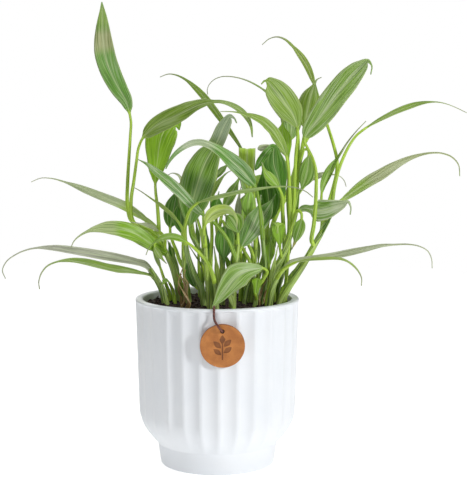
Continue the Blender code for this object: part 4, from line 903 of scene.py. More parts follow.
addShoot("shoot_middle_dark", (4, -23), 2.1, [(4.2, 150, -23), (4.3, 162, -22), (3.6, 175, -21),
    (2.2, 188, -19), (1.2, 199, -17)], [
    leaf("deep", 0.92, 8.4, [(2.2, 206, -18.5), (4.6, 208.5, -21)],
        [(6.2, 205), (6.6, 197), (6.2, 188), (5.8, 178), (6.4, 168)], (-24, -27), tail=0.08, widest=0.36),
    leaf("mid", 0.88, 4.6, [(2.6, 207, -12), (3.8, 213.5, -8)],
        [(5.6, 219), (9.3, 226.4), (13.5, 234.8), (17.6, 242.8), (21.2, 249.8)], (-6, 5), widest=0.4),
    leaf("deep", 0.8, 5.4, [(-0.4, 201, -10)],
        [(-1.2, 209), (-1, 216), (-0.4, 223), (0.6, 229), (1.6, 234)], (-5, -1)),
])
addShoot("shoot_middle", (13, -33), 2.7, [(13.6, 150, -33), (15, 163, -34), (16.8, 176, -34),
    (17.6, 188, -34)], [
    leaf("striped", 0.78, 4.5, [(12.8, 185, -37), (8.4, 193.5, -37.5), (2.5, 201.5, -37),
        (-5, 208.8, -36)],
        [(-12, 213.8), (-18, 219), (-25, 226.2), (-32, 233.5), (-40, 240.8), (-48, 247.4), (-55, 253),
        (-61, 257.8), (-67, 261)], (-35, -48), tipFace=faceUp,
        outline=[(0, 2), (0.1, 3.4), (0.25, 4.8), (0.45, 5.4), (0.65, 5.1), (0.82, 3.6), (0.93, 1.4),
        (1, 0.5)]),
    leaf("mid", 0.93, 8.4, [(17.7, 193, -34)],
        [(17.7, 197.5), (16.6, 203), (14, 208.5), (10.2, 212.6), (6, 213.6)], (-33, -28), tail=0.08,
        widest=0.55),
    leaf("striped", 0.88, 8.6, [],
        [(20.5, 185.6), (24.6, 193.6), (29.4, 203), (33.4, 212.5), (36.2, 222), (37.4, 231)], (-30, -24),
        tail=0.08, widest=0.45),
])
addShoot("shoot_front_right", (32, -24), 1.9, [(34.6, 150, -25), (38, 156.5, -26), (41, 161.5, -27.5)], [
    leaf("leafy", 0.93, 10.8, [(42.6, 165.3, -29)],
        [(39.5, 168), (33, 167.4), (26, 166), (19.4, 163.2), (13.2, 157.6), (7, 149.8), (1.4, 141.6),
        (-2, 137), (-4.4, 134)], (-31, -59),
        outline=[(0, 1.6), (0.08, 3.6), (0.22, 6.6), (0.34, 9.6), (0.42, 10.8), (0.5, 9.8), (0.65, 7.2),
        (0.8, 4.4), (0.92, 1.8), (1, 0.6)]),
    leaf("bright", 0.5, 4.8, [],
        [(32.8, 146), (33.4, 150.5), (33.9, 155), (34.2, 159.5)], (-32, -31),
        outline=[(0, 1.6), (0.5, 3), (0.85, 4.8), (0.95, 3.6), (1, 0.8)]),
])
addShoot("shoot_thin", (23, -17), 2.0, [(25, 149, -17), (27.4, 160, -17), (28.8, 168, -17)], [
    leaf("silvery", 0.93, 2.9, [(27.6, 174.5, -17), (24, 181, -16), (20.6, 188, -15)],
        [(18.4, 198), (17.8, 208), (17.9, 219), (18.6, 229), (20.6, 238.5)], (-14, -10)),
    leaf("fresh", 0.88, 6.0, [(31, 174, -14), (29.4, 182.5, -12), (26, 189.5, -10), (23.4, 199, -7)],
        [(22.4, 207), (22.6, 217), (24, 227), (26.4, 237)], (-5, 1)),
])
addShoot("shoot_centre", (28, -6), 2.0, [(29, 150, -6), (30.6, 162, -6), (32, 174, -6), (32.6, 186, -6),
    (33, 198, -6)], [
    leaf("lime", 0.9, 7.2, [(31.6, 208, 0), (28.4, 222, 5)],
        [(26.6, 235), (25.8, 247), (25.4, 258), (25.4, 266), (25.4, 270, 15), (25.4, 268.4, 21),
        (25.4, 261, 25)], (9, 26),
        outline=[(0, 1.6), (0.25, 5.5), (0.5, 7), (0.7, 7.2), (0.85, 5.5), (0.95, 2.5), (1, 0.8)]),
    leaf("vivid", 0.92, 5.8, [(32.4, 208, -7), (31.4, 224, -8), (30.4, 236, -9), (29.6, 241, -12),
        (28.8, 240.4, -16)],
        [(28.2, 236), (27.4, 230), (26.4, 222), (25.8, 214), (25.6, 207)], (-17.5, -19)),
])
addShoot("shoot_centre_front", (38, -14), 2.0, [(40.4, 150, -15), (41.2, 162, -18), (40.2, 178, -24),
    (38.8, 193, -30), (38, 205, -34)], [
    leaf("cool", 0.93, 5.8, [(36.9, 216, -36), (35.2, 228, -37)],
        [(33, 237), (27.4, 244.5), (20.4, 252.6), (12, 260), (6, 265), (0, 269.4), (-8, 273.5),
        (-15, 275.3), (-21, 274.7), (-27, 272), (-32, 268.6), (-37, 264), (-41, 258.6), (-43.6, 253)],
        (-38, -76), tipFace=faceUp,
        outline=[(0, 1.4), (0.07, 3.8), (0.15, 5.6), (0.25, 5.8), (0.36, 5), (0.48, 3.7), (0.57, 3),
        (0.68, 2.8), (0.78, 2.3), (0.88, 1.6), (0.95, 0.9), (1, 0.4)]),
])
addShoot("shoot_centre_back", (38, 8), 2.3, [(39.6, 152, 8), (41.2, 170, 9), (42.4, 188, 10),
    (43, 202, 11)], [
    leaf("deep", 0.93, 10.4, [(43.2, 205, 12)],
        [(43.8, 208.5), (44.4, 216), (43.9, 226), (42.4, 237), (40.2, 248), (37.6, 257)], (14, 19),
        tail=0, widest=0.42),
    leaf("olive", 0.85, 3.2, [(41, 206, 18), (36.5, 230, 26)],
        [(31.5, 247), (25, 261), (19.5, 272), (12, 283.5), (4, 294.5), (-3, 304), (-10, 313),
        (-18, 321.3), (-26, 328), (-34, 332), (-41, 333), (-48, 330.5)], (32, 84), face=faceLeft,
        widest=0.62),
    leaf("fresh", 0.6, 3.8, [(44.6, 172, 4)],
        [(45.6, 178), (46.4, 186), (46.6, 195), (45.6, 204)], (2, -3)),
])
addShoot("shoot_right_inner", (45.5, -4), 2.5, [(47, 152, -6), (50, 167, -7), (55, 177, -7.5),
    (58.6, 185.5, -8), (61.2, 195, -8), (63, 205, -8)], [
    leaf("olive", 0.93, 11.2, [(64.8, 220, -8), (66, 245, -8), (67, 268, -9), (68.2, 281)],
        [(68, 287), (65.2, 296.6), (59.6, 305.6), (53.6, 313.6), (47.5, 321), (42.8, 326.4), (40, 327.2),
        (37.5, 324.6)], (-12, -44),
        outline=[(0, 1.5), (0.1, 5), (0.28, 10.2), (0.48, 11.2), (0.68, 9), (0.82, 4.2), (0.88, 1),
        (1, 0.5)]),
    leaf("olive", 0.88, 4.2, [(62, 215, -14), (61.6, 235, -18), (60.8, 252, -20)],
        [(59, 263), (55.5, 272), (50.4, 280.6), (44.6, 288), (37.4, 293.6), (29, 297.4), (20, 300.2),
        (12, 301.4), (3, 301.6)], (-22, -86), tipFace=faceUp, tail=0.08, widest=0.4),
    leaf("bright", 0.84, 7.2, [(61.5, 212, 0), (61, 235, 4), (60.8, 254, 6)],
        [(60, 262), (57.5, 271), (55.5, 280), (55, 289), (56.5, 297)], (8, 14)),
    leaf("olive", 0.92, 2.0, [(65.2, 225, 4), (67.5, 255, 12), (69, 276, 18)],
        [(67, 290), (62, 300), (55.5, 308.5), (48.5, 314), (42.5, 317.6), (36, 322), (28, 326.4),
        (20, 329.3), (10, 331), (3, 330.6), (-3, 328), (-7, 323.5), (-8.3, 319), (-7.8, 316)], (26, 76),
        tipFace=faceUp, tail=0.45, widest=0.3),
    leaf("olive", 0.86, 9.4, [(65, 215, 8), (68.6, 245, 12), (72, 272, 12)],
        [(74.5, 286), (76, 299), (78.2, 310.5), (81, 320), (84.3, 328.4), (88, 330.2)], (12, 30),
        widest=0.45),
    leaf("mid", 0.93, 7.2, [(66, 222, 2), (69.2, 246, 4), (72, 264, 4.5), (74.4, 269.6, 4),
        (76.8, 269.4, 3.5)],
        [(77.8, 265), (77.6, 258), (76.4, 250), (73.8, 241), (69.5, 231.5)], (3, -2), tail=0.06,
        widest=0.45),
    leaf("mid", 0.9, 5.0, [(65, 208, -14), (66.6, 214.6, -17), (69.2, 217.6, -20), (71.6, 215.4, -22)],
        [(72, 210.4), (70.6, 204.2), (68.4, 197.4), (66.2, 190), (63.6, 184)], (-23, -25), widest=0.35),
    leaf("bright", 0.66, 6.0, [(54.6, 180, -13)],
        [(53.6, 185.4), (53.1, 192), (52.4, 199), (51.9, 204, -18), (51.6, 207, -21), (51.5, 205.4, -25),
        (51.2, 198, -27)], (-15, -27), tail=0.06, widest=0.55),
    leaf("silvery", 0.86, 3.2, [(64.6, 216, 2), (67, 227.6, 9), (73, 237, 17)],
        [(79, 242.8), (84, 245.9), (90, 248), (98, 248.3), (104, 247), (108, 243), (109.7, 238)],
        (24, 56), face=faceUp, tail=0.36, widest=0.4),
    leaf("banded", 0.93, 9.6, [(65.4, 211.6, -3)],
        [(69, 217), (74.6, 219.6), (80, 218.6), (85.5, 217.4), (92, 218.2), (100, 220.6), (107, 223),
        (111.4, 225), (113.8, 220.6), (113.4, 214)], (0, -9),
        outline=[(0, 1.6), (0.1, 2.8), (0.2, 3.2), (0.26, 6.4), (0.32, 9.4), (0.42, 8.6), (0.57, 6.2),
        (0.7, 3.6), (0.79, 1.4), (0.88, 0.7), (1, 0.5)]),
])
addShoot("shoot_right_back", (50, 8), 2.3, [(52, 151, 7), (55.5, 163, 6), (57.6, 175, 4), (57.6, 188, 2),
    (56.6, 200, 1)], [
    leaf("deep", 0.93, 10.6, [(55.6, 213, -1)],
        [(55.2, 226), (54.2, 237), (51, 248), (48.2, 257), (47.8, 264.6), (48, 269.6, -5.5),
        (46, 271, -10), (41.6, 266.6, -13), (36.8, 259.8, -15), (32.4, 252, -17)], (-3, -17),
        outline=[(0, 1.5), (0.15, 4.5), (0.32, 9.6), (0.42, 10.6), (0.52, 8), (0.62, 4), (0.7, 2.8),
        (0.78, 3.2), (0.88, 3.2), (0.95, 2.2), (1, 0.6)]),
    leaf("fresh", 0.9, 4.2, [(56, 216, -12), (55.4, 230, -17)],
        [(52.4, 237), (46.6, 243.6), (41, 250), (37.8, 259)], (-21, -30), widest=0.4),
    leaf("silvery", 0.86, 2.9, [(55.8, 214, 0), (55.2, 234, -1), (53.8, 251, -2)],
        [(52.2, 260.5), (49.6, 267), (45, 270.4), (40, 271), (34.4, 270)], (-3, -6),
        outline=[(0, 1.2), (0.3, 2.2), (0.6, 2.9), (0.9, 2.7), (0.97, 2), (1, 0.8)]),
])
addShoot("shoot_right_low", (44, -25), 2.3, [(47, 150, -26), (50.6, 158, -27), (54.6, 164.6, -28),
    (58.4, 169.4, -29)], [
    leaf("silvery", 0.92, 2.7, [(63, 173.6, -30)],
        [(68, 175), (76, 176), (88, 177.2), (100, 178.6), (110, 180.5), (120, 182.6), (130, 184.8),
        (140, 187.2), (152, 188.3), (164, 188.5), (173, 186.8), (180, 182.8), (183.4, 176), (184, 168)],
        (-30, -56), face=faceUp, tail=0.22, widest=0.42, foot=0.5),
    leaf("pale", 0.76, 1.8, [(54, 164, -33), (60, 169.4, -36)],
        [(66, 172.6), (74, 174.8), (82, 175.8), (90, 176.2), (100, 176.4), (107, 175.6), (113, 173),
        (118.5, 168.3), (122, 163.5), (123.7, 159), (123.5, 153)], (-38, -100), face=faceUp, tail=0.2,
        widest=0.4),
])
addShoot("shoot_right", (53.5, -11), 2.7, [(60.5, 151, -10), (66.4, 160, -9), (73, 170.4, -7),
    (78.6, 180, -5), (84, 190, -3), (89.6, 200, 0), (94.6, 209, 2)], [
    leaf("leafy", 0.74, 10.2, [(80.6, 192, -9), (82.4, 205, -14), (84.2, 235, -16), (83.8, 252, -14),
        (80.6, 263, -10), (76.6, 271, -7)],
        [(74, 277), (77.4, 284.4), (84, 293.2), (91.4, 303.2), (98.9, 313.6), (106.4, 322.9),
        (114, 331.8), (121.6, 339.2), (127.4, 343.6), (130.2, 340.4), (129.6, 332.6)], (-6, -20),
        outline=[(0, 1.5), (0.05, 4.4), (0.12, 7.2), (0.22, 9), (0.4, 10.2), (0.6, 9.8), (0.74, 7.8),
        (0.83, 4.6), (0.88, 1.6), (0.92, 0.7), (1, 0.5)]),
    leaf("olive", 0.93, 4.8, [(98.4, 220, 6)],
        [(103.8, 225.2), (109, 228.2), (115.5, 232.9), (122.1, 237.8), (130, 243.1), (139.2, 248.3),
        (147.8, 253.8), (156.3, 258.7), (165, 262.6), (173.4, 265.2), (182, 266.6), (191, 266.2),
        (199.6, 262.8), (205, 256.4), (206.2, 247)], (8, 46), tipFace=faceUp,
        outline=[(0, 1.4), (0.08, 2.8), (0.18, 4.3), (0.29, 4.8), (0.38, 4.4), (0.49, 3.1), (0.57, 2.1),
        (0.65, 1.3), (0.75, 1), (0.86, 1.3), (0.94, 1), (1, 0.4)]),
    leaf("olive", 0.9, 3.3, [(97.6, 223, 10), (99.8, 238, 14), (103, 251.5, 17), (107.5, 263.5, 20),
        (112.5, 273.6, 22), (118.5, 281.8)],
        [(124.5, 286.6), (132, 291.3), (141, 296.2), (150, 300.6), (160, 304.7), (169, 307.7),
        (178, 309.4), (187, 309.4), (195, 307.6), (203, 304.4), (211, 300.6)], (26, 92), face=faceUp,
        tail=0.2),
    leaf("fresh", 0.86, 3.8, [(89.6, 211, 11), (88.8, 222, 15)],
        [(88.8, 230), (90, 240), (94, 249.4), (99, 257.6), (104.5, 266), (110.5, 275.6), (117.5, 284.5),
        (126, 293.5)], (17, 34), face=faceRight, tail=0.45, widest=0.45),
    leaf("pale", 0.88, 3.2, [(94.6, 222, 20), (98.8, 237, 24), (101.6, 250, 28), (101.8, 260, 30),
        (99.4, 271, 32), (96.2, 281.4, 34), (92.6, 292, 36), (89, 303, 38), (86, 313)],
        [(83, 321.5), (80.3, 330), (77, 338), (73, 345), (68, 351.5), (62.5, 357.5), (57, 362),
        (50.5, 364), (44, 362.4), (38, 357.5)], (42, 86), face=faceLeft, tail=0.3, widest=0.4),
])
addShoot("shoot_back_left", (-14, 24), 2.0, [(-13, 158, 25), (-12, 178, 29), (-11.5, 194, 34)], [
    leaf("mid", 0.92, 9.6, [(-11.5, 208, 42)],
        [(-12.5, 222), (-14, 238), (-15, 250, 80), (-15, 258, 100), (-14, 260, 120), (-13, 254, 138)],
        (52, 146), face=faceUp, tail=0.24, widest=0.4),
    leaf("olive", 0.84, 7.4, [(-14, 200, 50)],
        [(-17.5, 212), (-21, 224, 82), (-23, 233, 102), (-22.6, 236, 122), (-21, 230, 138)], (64, 144),
        face=faceUp, tail=0.22, widest=0.4),
])
addShoot("shoot_back", (10, 36), 2.1, [(11, 160, 38), (14, 180, 42), (18, 198, 47)], [
    leaf("fresh", 0.92, 9.6, [(24, 212, 58)],
        [(29, 226), (34, 238, 88), (39, 246, 108), (43, 248, 128), (45, 242, 144)], (70, 152),
        face=faceUp, tail=0.22, widest=0.4),
    leaf("mid", 0.86, 6.8, [(22, 212, 54)],
        [(24.5, 230), (25.4, 246, 78), (25, 257, 96), (24.6, 263, 116), (24.6, 261, 134)], (62, 148),
        face=faceUp, tail=0.22, widest=0.4),
    leaf("deep", 0.72, 5.2, [(11, 186, 54)],
        [(8.5, 193), (6.5, 195.5, 84), (6, 191, 104), (7, 182, 120), (8.4, 171, 130)], (64, 132),
        face=faceUp, tail=0.16, widest=0.4),
])
addShoot("shoot_back_right", (31, 30), 2.1, [(35, 160, 32), (41, 182, 35), (47, 204, 37),
    (52, 222, 38)], [
    leaf("mid", 0.92, 9.8, [(56.5, 242, 42), (60, 262, 46)],
        [(62, 276), (63, 290, 62), (62, 301, 78), (59, 310, 96), (56, 314, 114), (54, 310, 130)],
        (52, 140), face=faceUp, tail=0.22, widest=0.4),
    leaf("olive", 0.86, 6.8, [(60, 230, 50)],
        [(67, 242), (73, 252, 80), (76, 257, 100), (77, 256, 120), (77, 248, 136)], (62, 144),
        face=faceUp, tail=0.22, widest=0.4),
    leaf("striped", 0.8, 7.8, [(62, 240, 42), (71, 268, 46)],
        [(80, 284), (88, 298, 58), (97, 311, 72), (105, 320, 90), (111, 325, 110), (115, 325, 126)],
        (50, 138), face=faceUp, tail=0.22, widest=0.4),
])

# small leaves, rolled sheaths and dry root-like bits among the shoots
youngGrowth = [
    sprout((47, -2), "pale", 2.7, [(50, 168), (58, 188)],
        [(61.8, 205), (63.4, 222), (64.8, 240), (66.2, 258), (67.4, 271)], (-5, -3), widest=0.45),
    sprout((48, 4), "fresh", 2.2, [(53, 168), (60.6, 188)],
        [(65.4, 203), (67.4, 222), (68.6, 240), (69.4, 256)], (4, 6), widest=0.45),
    sprout((2, 2), "pale", 2.6, [],
        [(1.8, 144), (1, 156), (-0.6, 170), (-2.8, 187)], (2, -4), tail=0.12, widest=0.45),
    sprout((-15, 14), "mid", 2.0, [(-15.6, 165)],
        [(-16, 180), (-16.2, 190), (-17, 200), (-18.6, 211)], (16, 18)),
    sprout((-8, 16), "deep", 2.0, [(-7.6, 160)],
        [(-7.2, 172), (-7.8, 184), (-8.8, 195), (-9.8, 206)], (18, 20)),
    sprout((10, 10), "fresh", 2.2, [(10.6, 155)],
        [(10.6, 164), (9.6, 171), (8, 177), (6, 182)], (8, 4), widest=0.45),
    sprout((21, 6), "fresh", 2.8, [(21.4, 158)],
        [(21.6, 168), (22.4, 175), (23.4, 181), (24, 186)], (6, 2), tail=0.08),
    sprout((34, 18), "olive", 1.5, [(34.6, 160)],
        [(35, 172), (35.6, 182), (35.4, 190), (34.6, 197)], (20, 22)),
    sprout((51, 12), "pale", 3.0, [(54, 160)],
        [(57, 172), (59.4, 180), (61.6, 188), (63.6, 196.5)], (16, 18), tail=0.08),
    sprout((42, -22), "pale", 1.9, [(43.4, 146)],
        [(45, 155), (47.4, 166), (49.8, 177), (52, 188)], (-24, -26), tail=0.14, widest=0.35),
    sprout((50, 10), "olive", 1.6, [(56, 151)],
        [(59.6, 156), (63.4, 162), (67.2, 168), (71, 174)], (10, 12), face=faceUp, tail=0.2, widest=0.35),
    sprout((-24, 6), "olive", 1.9, [(-29.6, 152)],
        [(-32.6, 162), (-35.6, 172), (-38, 181), (-40.6, 190.5)], (6, 4), tail=0.12, widest=0.4),
    sprout((-30, 18), "deep", 2.6, [(-34, 164)],
        [(-36.6, 174), (-38.6, 181), (-40.6, 187), (-42.4, 192)], (20, 22), tail=0.08),
    sprout((-6, 6), "mid", 1.2, [(-10, 160)],
        [(-14.4, 172.6), (-17.4, 177), (-20.6, 182), (-24, 187)], (0, -10), face=faceUp, tail=0.2,
        widest=0.4),
    sprout((-36, -8), "fresh", 2.4, [(-38.6, 150)],
        [(-41, 155), (-43.2, 157.6), (-45.4, 156.6), (-47, 152.6)], (-12, -20), face=faceUp, widest=0.45),
    sprout((56, 2), "striped", 2.0, [(64, 160, 2), (72.6, 173.4, 1)],
        [(80, 184.6), (88, 197), (95.6, 209.4), (103.4, 222.4)], (0, -4), face=faceUp, widest=0.35),
    sprout((8, 26), "mid", 2.8, [(5, 170, 28), (-1, 210, 30), (-3, 236, 31)],
        [(-1, 245), (2.6, 250), (6.8, 254.6), (11, 258.6)], (32, 36), face=faceUp, tail=0.08,
        widest=0.45),
    sprout((28, 24), "deep", 1.4, [(28.6, 160)],
        [(29.4, 172), (29.8, 180), (29.8, 186), (29.6, 192)], (25, 26)),
    sprout((26, 2), "striped", 8.2, [(20, 160), (18, 176)],
        [(20, 186), (29.5, 199.2), (37, 210.7), (44.6, 222), (50, 232)], (-2, 4), tail=0.02),
    sprout((20, 0), "mid", 6.4, [(20.6, 165), (20, 182)],
        [(18.6, 191), (15.6, 198), (12, 205), (8, 212), (6, 216)], (-16, -12), tail=0.05, widest=0.45),
    sprout((44, -2), "fresh", 4.6, [(44.4, 160)],
        [(44.4, 171), (44.8, 178), (45.2, 186), (45.8, 195)], (-6, -8), tail=0.05, widest=0.55),
    sprout((58, 0), "pale", 2.8, [(60.4, 175, -2)],
        [(61.6, 195), (61.8, 215), (61, 236), (59.8, 256)], (-2, 0), tail=0.05),
    sprout((-40, 6), "olive", 2.0, [(-45.4, 158)],
        [(-48.6, 168), (-52, 178), (-55, 187), (-57.6, 195.6)], (4, 0), face=faceLeft, tail=0.16,
        widest=0.38),
    sprout((14, -46), "pale", 2.4, [],
        [(14, 134), (13, 139), (11, 144), (8, 149.6)], (-47, -48), tail=0.08, widest=0.45),
    sprout((-29, -33), "dry", 1.6, [],
        [(-28.4, 139), (-27, 148), (-28.4, 156), (-31.4, 162), (-29, 169)], (-36, -38), tail=0.2,
        widest=0.35),
    sprout((-25, -34), "dry", 1.3, [],
        [(-25, 138), (-26.6, 147), (-25.4, 155), (-28.6, 161), (-27, 167)], (-38, -40), face=faceLeft,
        tail=0.3, widest=0.3),
    sprout((-24, -36), "dry", 1.0, [],
        [(-24, 138), (-27, 144), (-30.6, 150), (-33.4, 156), (-30.6, 163)], (-40, -41), face=faceRight,
        tail=0.4, widest=0.3),
    sprout((-30, -12), "dry", 1.0, [],
        [(-31, 143), (-33.4, 150), (-31.6, 157), (-34.6, 163)], (-14, -18), tail=0.3, widest=0.3),
    sprout((36, -20), "dry", 1.2, [],
        [(36, 140), (37.6, 147), (40, 154), (43.6, 160)], (-22, -18), tail=0.3, widest=0.4),
    sprout((44, -6), "dry", 1.0, [],
        [(45, 142), (46.6, 148), (45, 154), (46.4, 160)], (-8, -12), face=faceRight, tail=0.3,
        widest=0.4),
    sprout((40, -14), "dry", 0.8, [],
        [(40, 141), (41.6, 148), (44.6, 152), (44, 158)], (-16, -20), tail=0.4, widest=0.4),
]

# stretches of leaves with a tint, paler, deeper, pink or brown: the pink patch and the brownish tip are the
# leaves' own, the deeper greens over the starts of blades are painted shade down among the stems, and the
# pale stretches marked below are painted sheen and painted light:
# shoot, leaf, (from, to) as shares of its blade, colour, strength
leafTintsAndPaintedLight = [
    # painted shade: deeper green over the starts of these three blades, down among the stems
    ("shoot_middle_left", 0, (-0.3, 0.42), "#4C8214", 0.6),
    ("shoot_centre_front", 0, (-0.3, 0.36), "#4A8020", 0.55),
    ("shoot_middle", 0, (-0.3, 0.5), "#4A8418", 0.5),
    # painted sheen: pale grey over this blade, which faces up
    ("shoot_left_low", 0, (-0.15, 1.0), "#B0ACA8", 0.6),
    ("shoot_left", 0, (0.54, 0.78), "#C9BC96", 0.62),
    ("shoot_left", 0, (0.74, 1.0), "#A6BE5E", 0.6),
    # painted sheen: pale grey-green over this blade, which faces up
    ("shoot_left", 3, (0.16, 1.0), "#C8D0B4", 0.6),
    ("shoot_left", 4, (0.40, 1.0), "#B2BC8A", 0.7),
    ("shoot_right_inner", 6, (0.70, 1.0), "#B4A44E", 0.8),
    # painted sheen: pale grey over the far arch of this blade, which faces up
    ("shoot_right", 1, (0.20, 1.0), "#B8B49A", 0.6),
    ("shoot_middle_left", 0, (0.66, 1.0), "#9BA893", 0.8),
    # painted sheen: pale grey-green over the top of this arch
    ("shoot_centre_front", 0, (0.46, 0.8), "#C6CEB2", 0.75),
    ("shoot_right_inner", 9, (0.50, 1.0), "#C0CAA8", 0.7),
    # painted light: paler over the far half of this leaf, where its side in shade is seen
    ("shoot_front_left", 0, (0.5, 1.0), "#C4D890", 0.5),
]


def seenPoint(x, z, depth):
    # the place at this depth that the eye sees at (x, z) on the plane through the pot's axis
    onPlane = Vector((x * mm, 0, z * mm))
    return eye + (onPlane - eye) * (1 + depth * mm / -eye.y)


def seenLine(points, first, last):
    # points as places in space; depths that aren't given run evenly
    known = {i: p[2] for i, p in enumerate(points) if len(p) == 3}
    known.setdefault(0, first)
    known.setdefault(len(points) - 1, last)
    keys = sorted(known)
    line = []
    for i, point in enumerate(points):
        k = min(bisect.bisect_right(keys, i), len(keys) - 1)
        low, high = keys[k - 1], keys[k]
        share = clamped((i - low) / (high - low)) if high > low else 0
        line.append(seenPoint(point[0], point[1], between(known[low], known[high], share)))
    return line


def eased(pairs, share):
    # reads (share, value) pairs along a curve that never rises over its own entries
    k = max(1, min(bisect.bisect_left([p[0] for p in pairs], share), len(pairs) - 1))
    slopes = [(b[1] - a[1]) / (b[0] - a[0]) for a, b in zip(pairs, pairs[1:])]

    def slopeAt(i):
        if i == 0 or i == len(pairs) - 1:
            return slopes[0 if i == 0 else -1]
        before, after = slopes[i - 1], slopes[i]
        return 2 * before * after / (before + after) if before * after > 0 else 0.0

    (a, low), (b, high) = pairs[k - 1], pairs[k]
    return curved(low, high, slopeAt(k - 1), slopeAt(k), b - a, clamped((share - a) / (b - a)))


def halfWidth(form, share):
    # half a blade's width as a part of its greatest half width
    if form["outline"]:
        return eased(form["outline"], share) / max(w for _, w in form["outline"])
    body = 1 - form["tail"]
    if share >= body:
        return 0.0
    power = math.log(0.5) / math.log(form["widest"])
    # the tip narrows to a point, and the blade's start is round
    bulge = 0.9 + 0.8 * clamped((share / body - 0.6) / 0.3)
    wide = math.sin(math.pi * (share / body) ** power) ** bulge
    return between(form["foot"], 1, wide) if share < body * form["widest"] else wide


def threadHalf(form, half, share):
    # half the width of a leaf's thread-like tip, which narrows faster at first
    first, last = bladeForm["thread"]
    if form["outline"]:
        return last
    start = 0.85 * (1 - form["tail"])  # it forms a little before the blade ends
    left = 1 - clamped((share - start) / (1 - start))
    return last + max(min(first, bladeForm["threadMost"] * half) - last, 0) * left**1.8


def upright(face, along, before):
    # the direction near to face that is square to the line; it turns smoothly from the one before
    up = face - along * face.dot(along)
    if before:
        kept = before - along * before.dot(along)
        up = (up if up.dot(kept) > 0 else -up) + kept * 0.4
    return up.normalized()


def leafTurns(line, base, form):
    # the blade's upper side at a few distances, turned as the solid's is
    blade = line.length - base
    body = base + blade * (1 if form["outline"] else 1 - form["tail"])
    stalkStep, bladeStep, threadStep = bladeForm["solidSteps"]
    stations = [0.0, *line.stations(0, base, stalkStep, 2)]
    stations += line.stations(base, body, bladeStep, 7 if form["outline"] else 5)
    if body < line.length:
        stations += line.stations(body, line.length, threadStep, 1)
    ups, up = [], None
    for distance in stations:
        share = max(distance - base, 0) / blade
        up = upright(form["faces"][0].lerp(form["faces"][1], share), line.along(distance), up)
        ups.append(up)
    return stations, ups


def turnAt(stations, ups, distance, along):
    i = max(1, min(bisect.bisect_left(stations, distance), len(stations) - 1))
    share = clamped((distance - stations[i - 1]) / (stations[i] - stations[i - 1]))
    up = ups[i - 1].lerp(ups[i], smooth(share))
    return (up - along * up.dot(along)).normalized()


def trueHalf(line, base, form):
    # half the blade's width, from the half that the eye in front sees of it
    where = 0.4  # near the blade's widest place
    middle = between(base, line.length, where)
    along = line.along(middle)
    side = upright(form["faces"][0].lerp(form["faces"][1], where), along, None).cross(along)
    sight = (line.at(middle) - eye).normalized()
    return form["seen"] * mm / max((side - sight * side.dot(sight)).length, bladeForm["leastSeen"])


# what the leaf material reads at each vertex: its place across, from -1 to 1, and from the
# midrib in mm, its place along in cm, and how much silver and dark it carries
leafReads = ("across", "side", "along", "silver", "dark")


def ringedTube(points, rings):
    # a closed tube with rings along it, the layers that the leaf material reads, and its
    # vertices as [ring][point]
    bm = bmesh.new()
    layers = {name: bm.verts.layers.float.new(name) for name in leafReads}
    layers["leafColour"] = bm.verts.layers.float_color.new("leafColour")
    bmesh.ops.create_cone(bm, cap_ends=True, segments=points, radius1=1, radius2=1, depth=1)
    uprights = [e for e in bm.edges if abs(e.verts[0].co.z - e.verts[1].co.z) > 0.5]
    bmesh.ops.subdivide_edges(bm, edges=uprights, cuts=rings - 2)
    layers = {name: (bm.verts.layers.float.get(name) or bm.verts.layers.float_color.get(name))
              for name in layers}
    first = next(iter(bm.verts)).co
    phase = math.atan2(first.y, first.x)
    table = [[None] * points for _ in range(rings)]
    for vert in bm.verts:
        turn = (math.atan2(vert.co.y, vert.co.x) - phase) / math.tau
        table[round((vert.co.z + 0.5) * (rings - 1))][round(turn * points) % points] = vert
    return bm, layers, table


def paint(vert, layers, colour, *reads):
    vert[layers["leafColour"]] = colour
    for name, value in zip(leafReads, reads):
        vert[layers[name]] = value


def leafSection(across, turn, over, rib, width, pleat, lift):
    # how high a blade's face stands over its middle line; turn is the place along the waves
    slope, rounding, level = bladeForm["fold"]
    flat = (math.hypot(across, rounding) - level) * width * slope
    flat += rib * math.sqrt(max(1 - across * across, 0)) * over / 2
    ridge = math.cos(bladeForm["pleats"] * math.pi * across) * (1 - bladeForm["pleatFade"] * abs(across))
    return flat - pleat * ridge + lift * across * abs(across) * math.sin(turn)


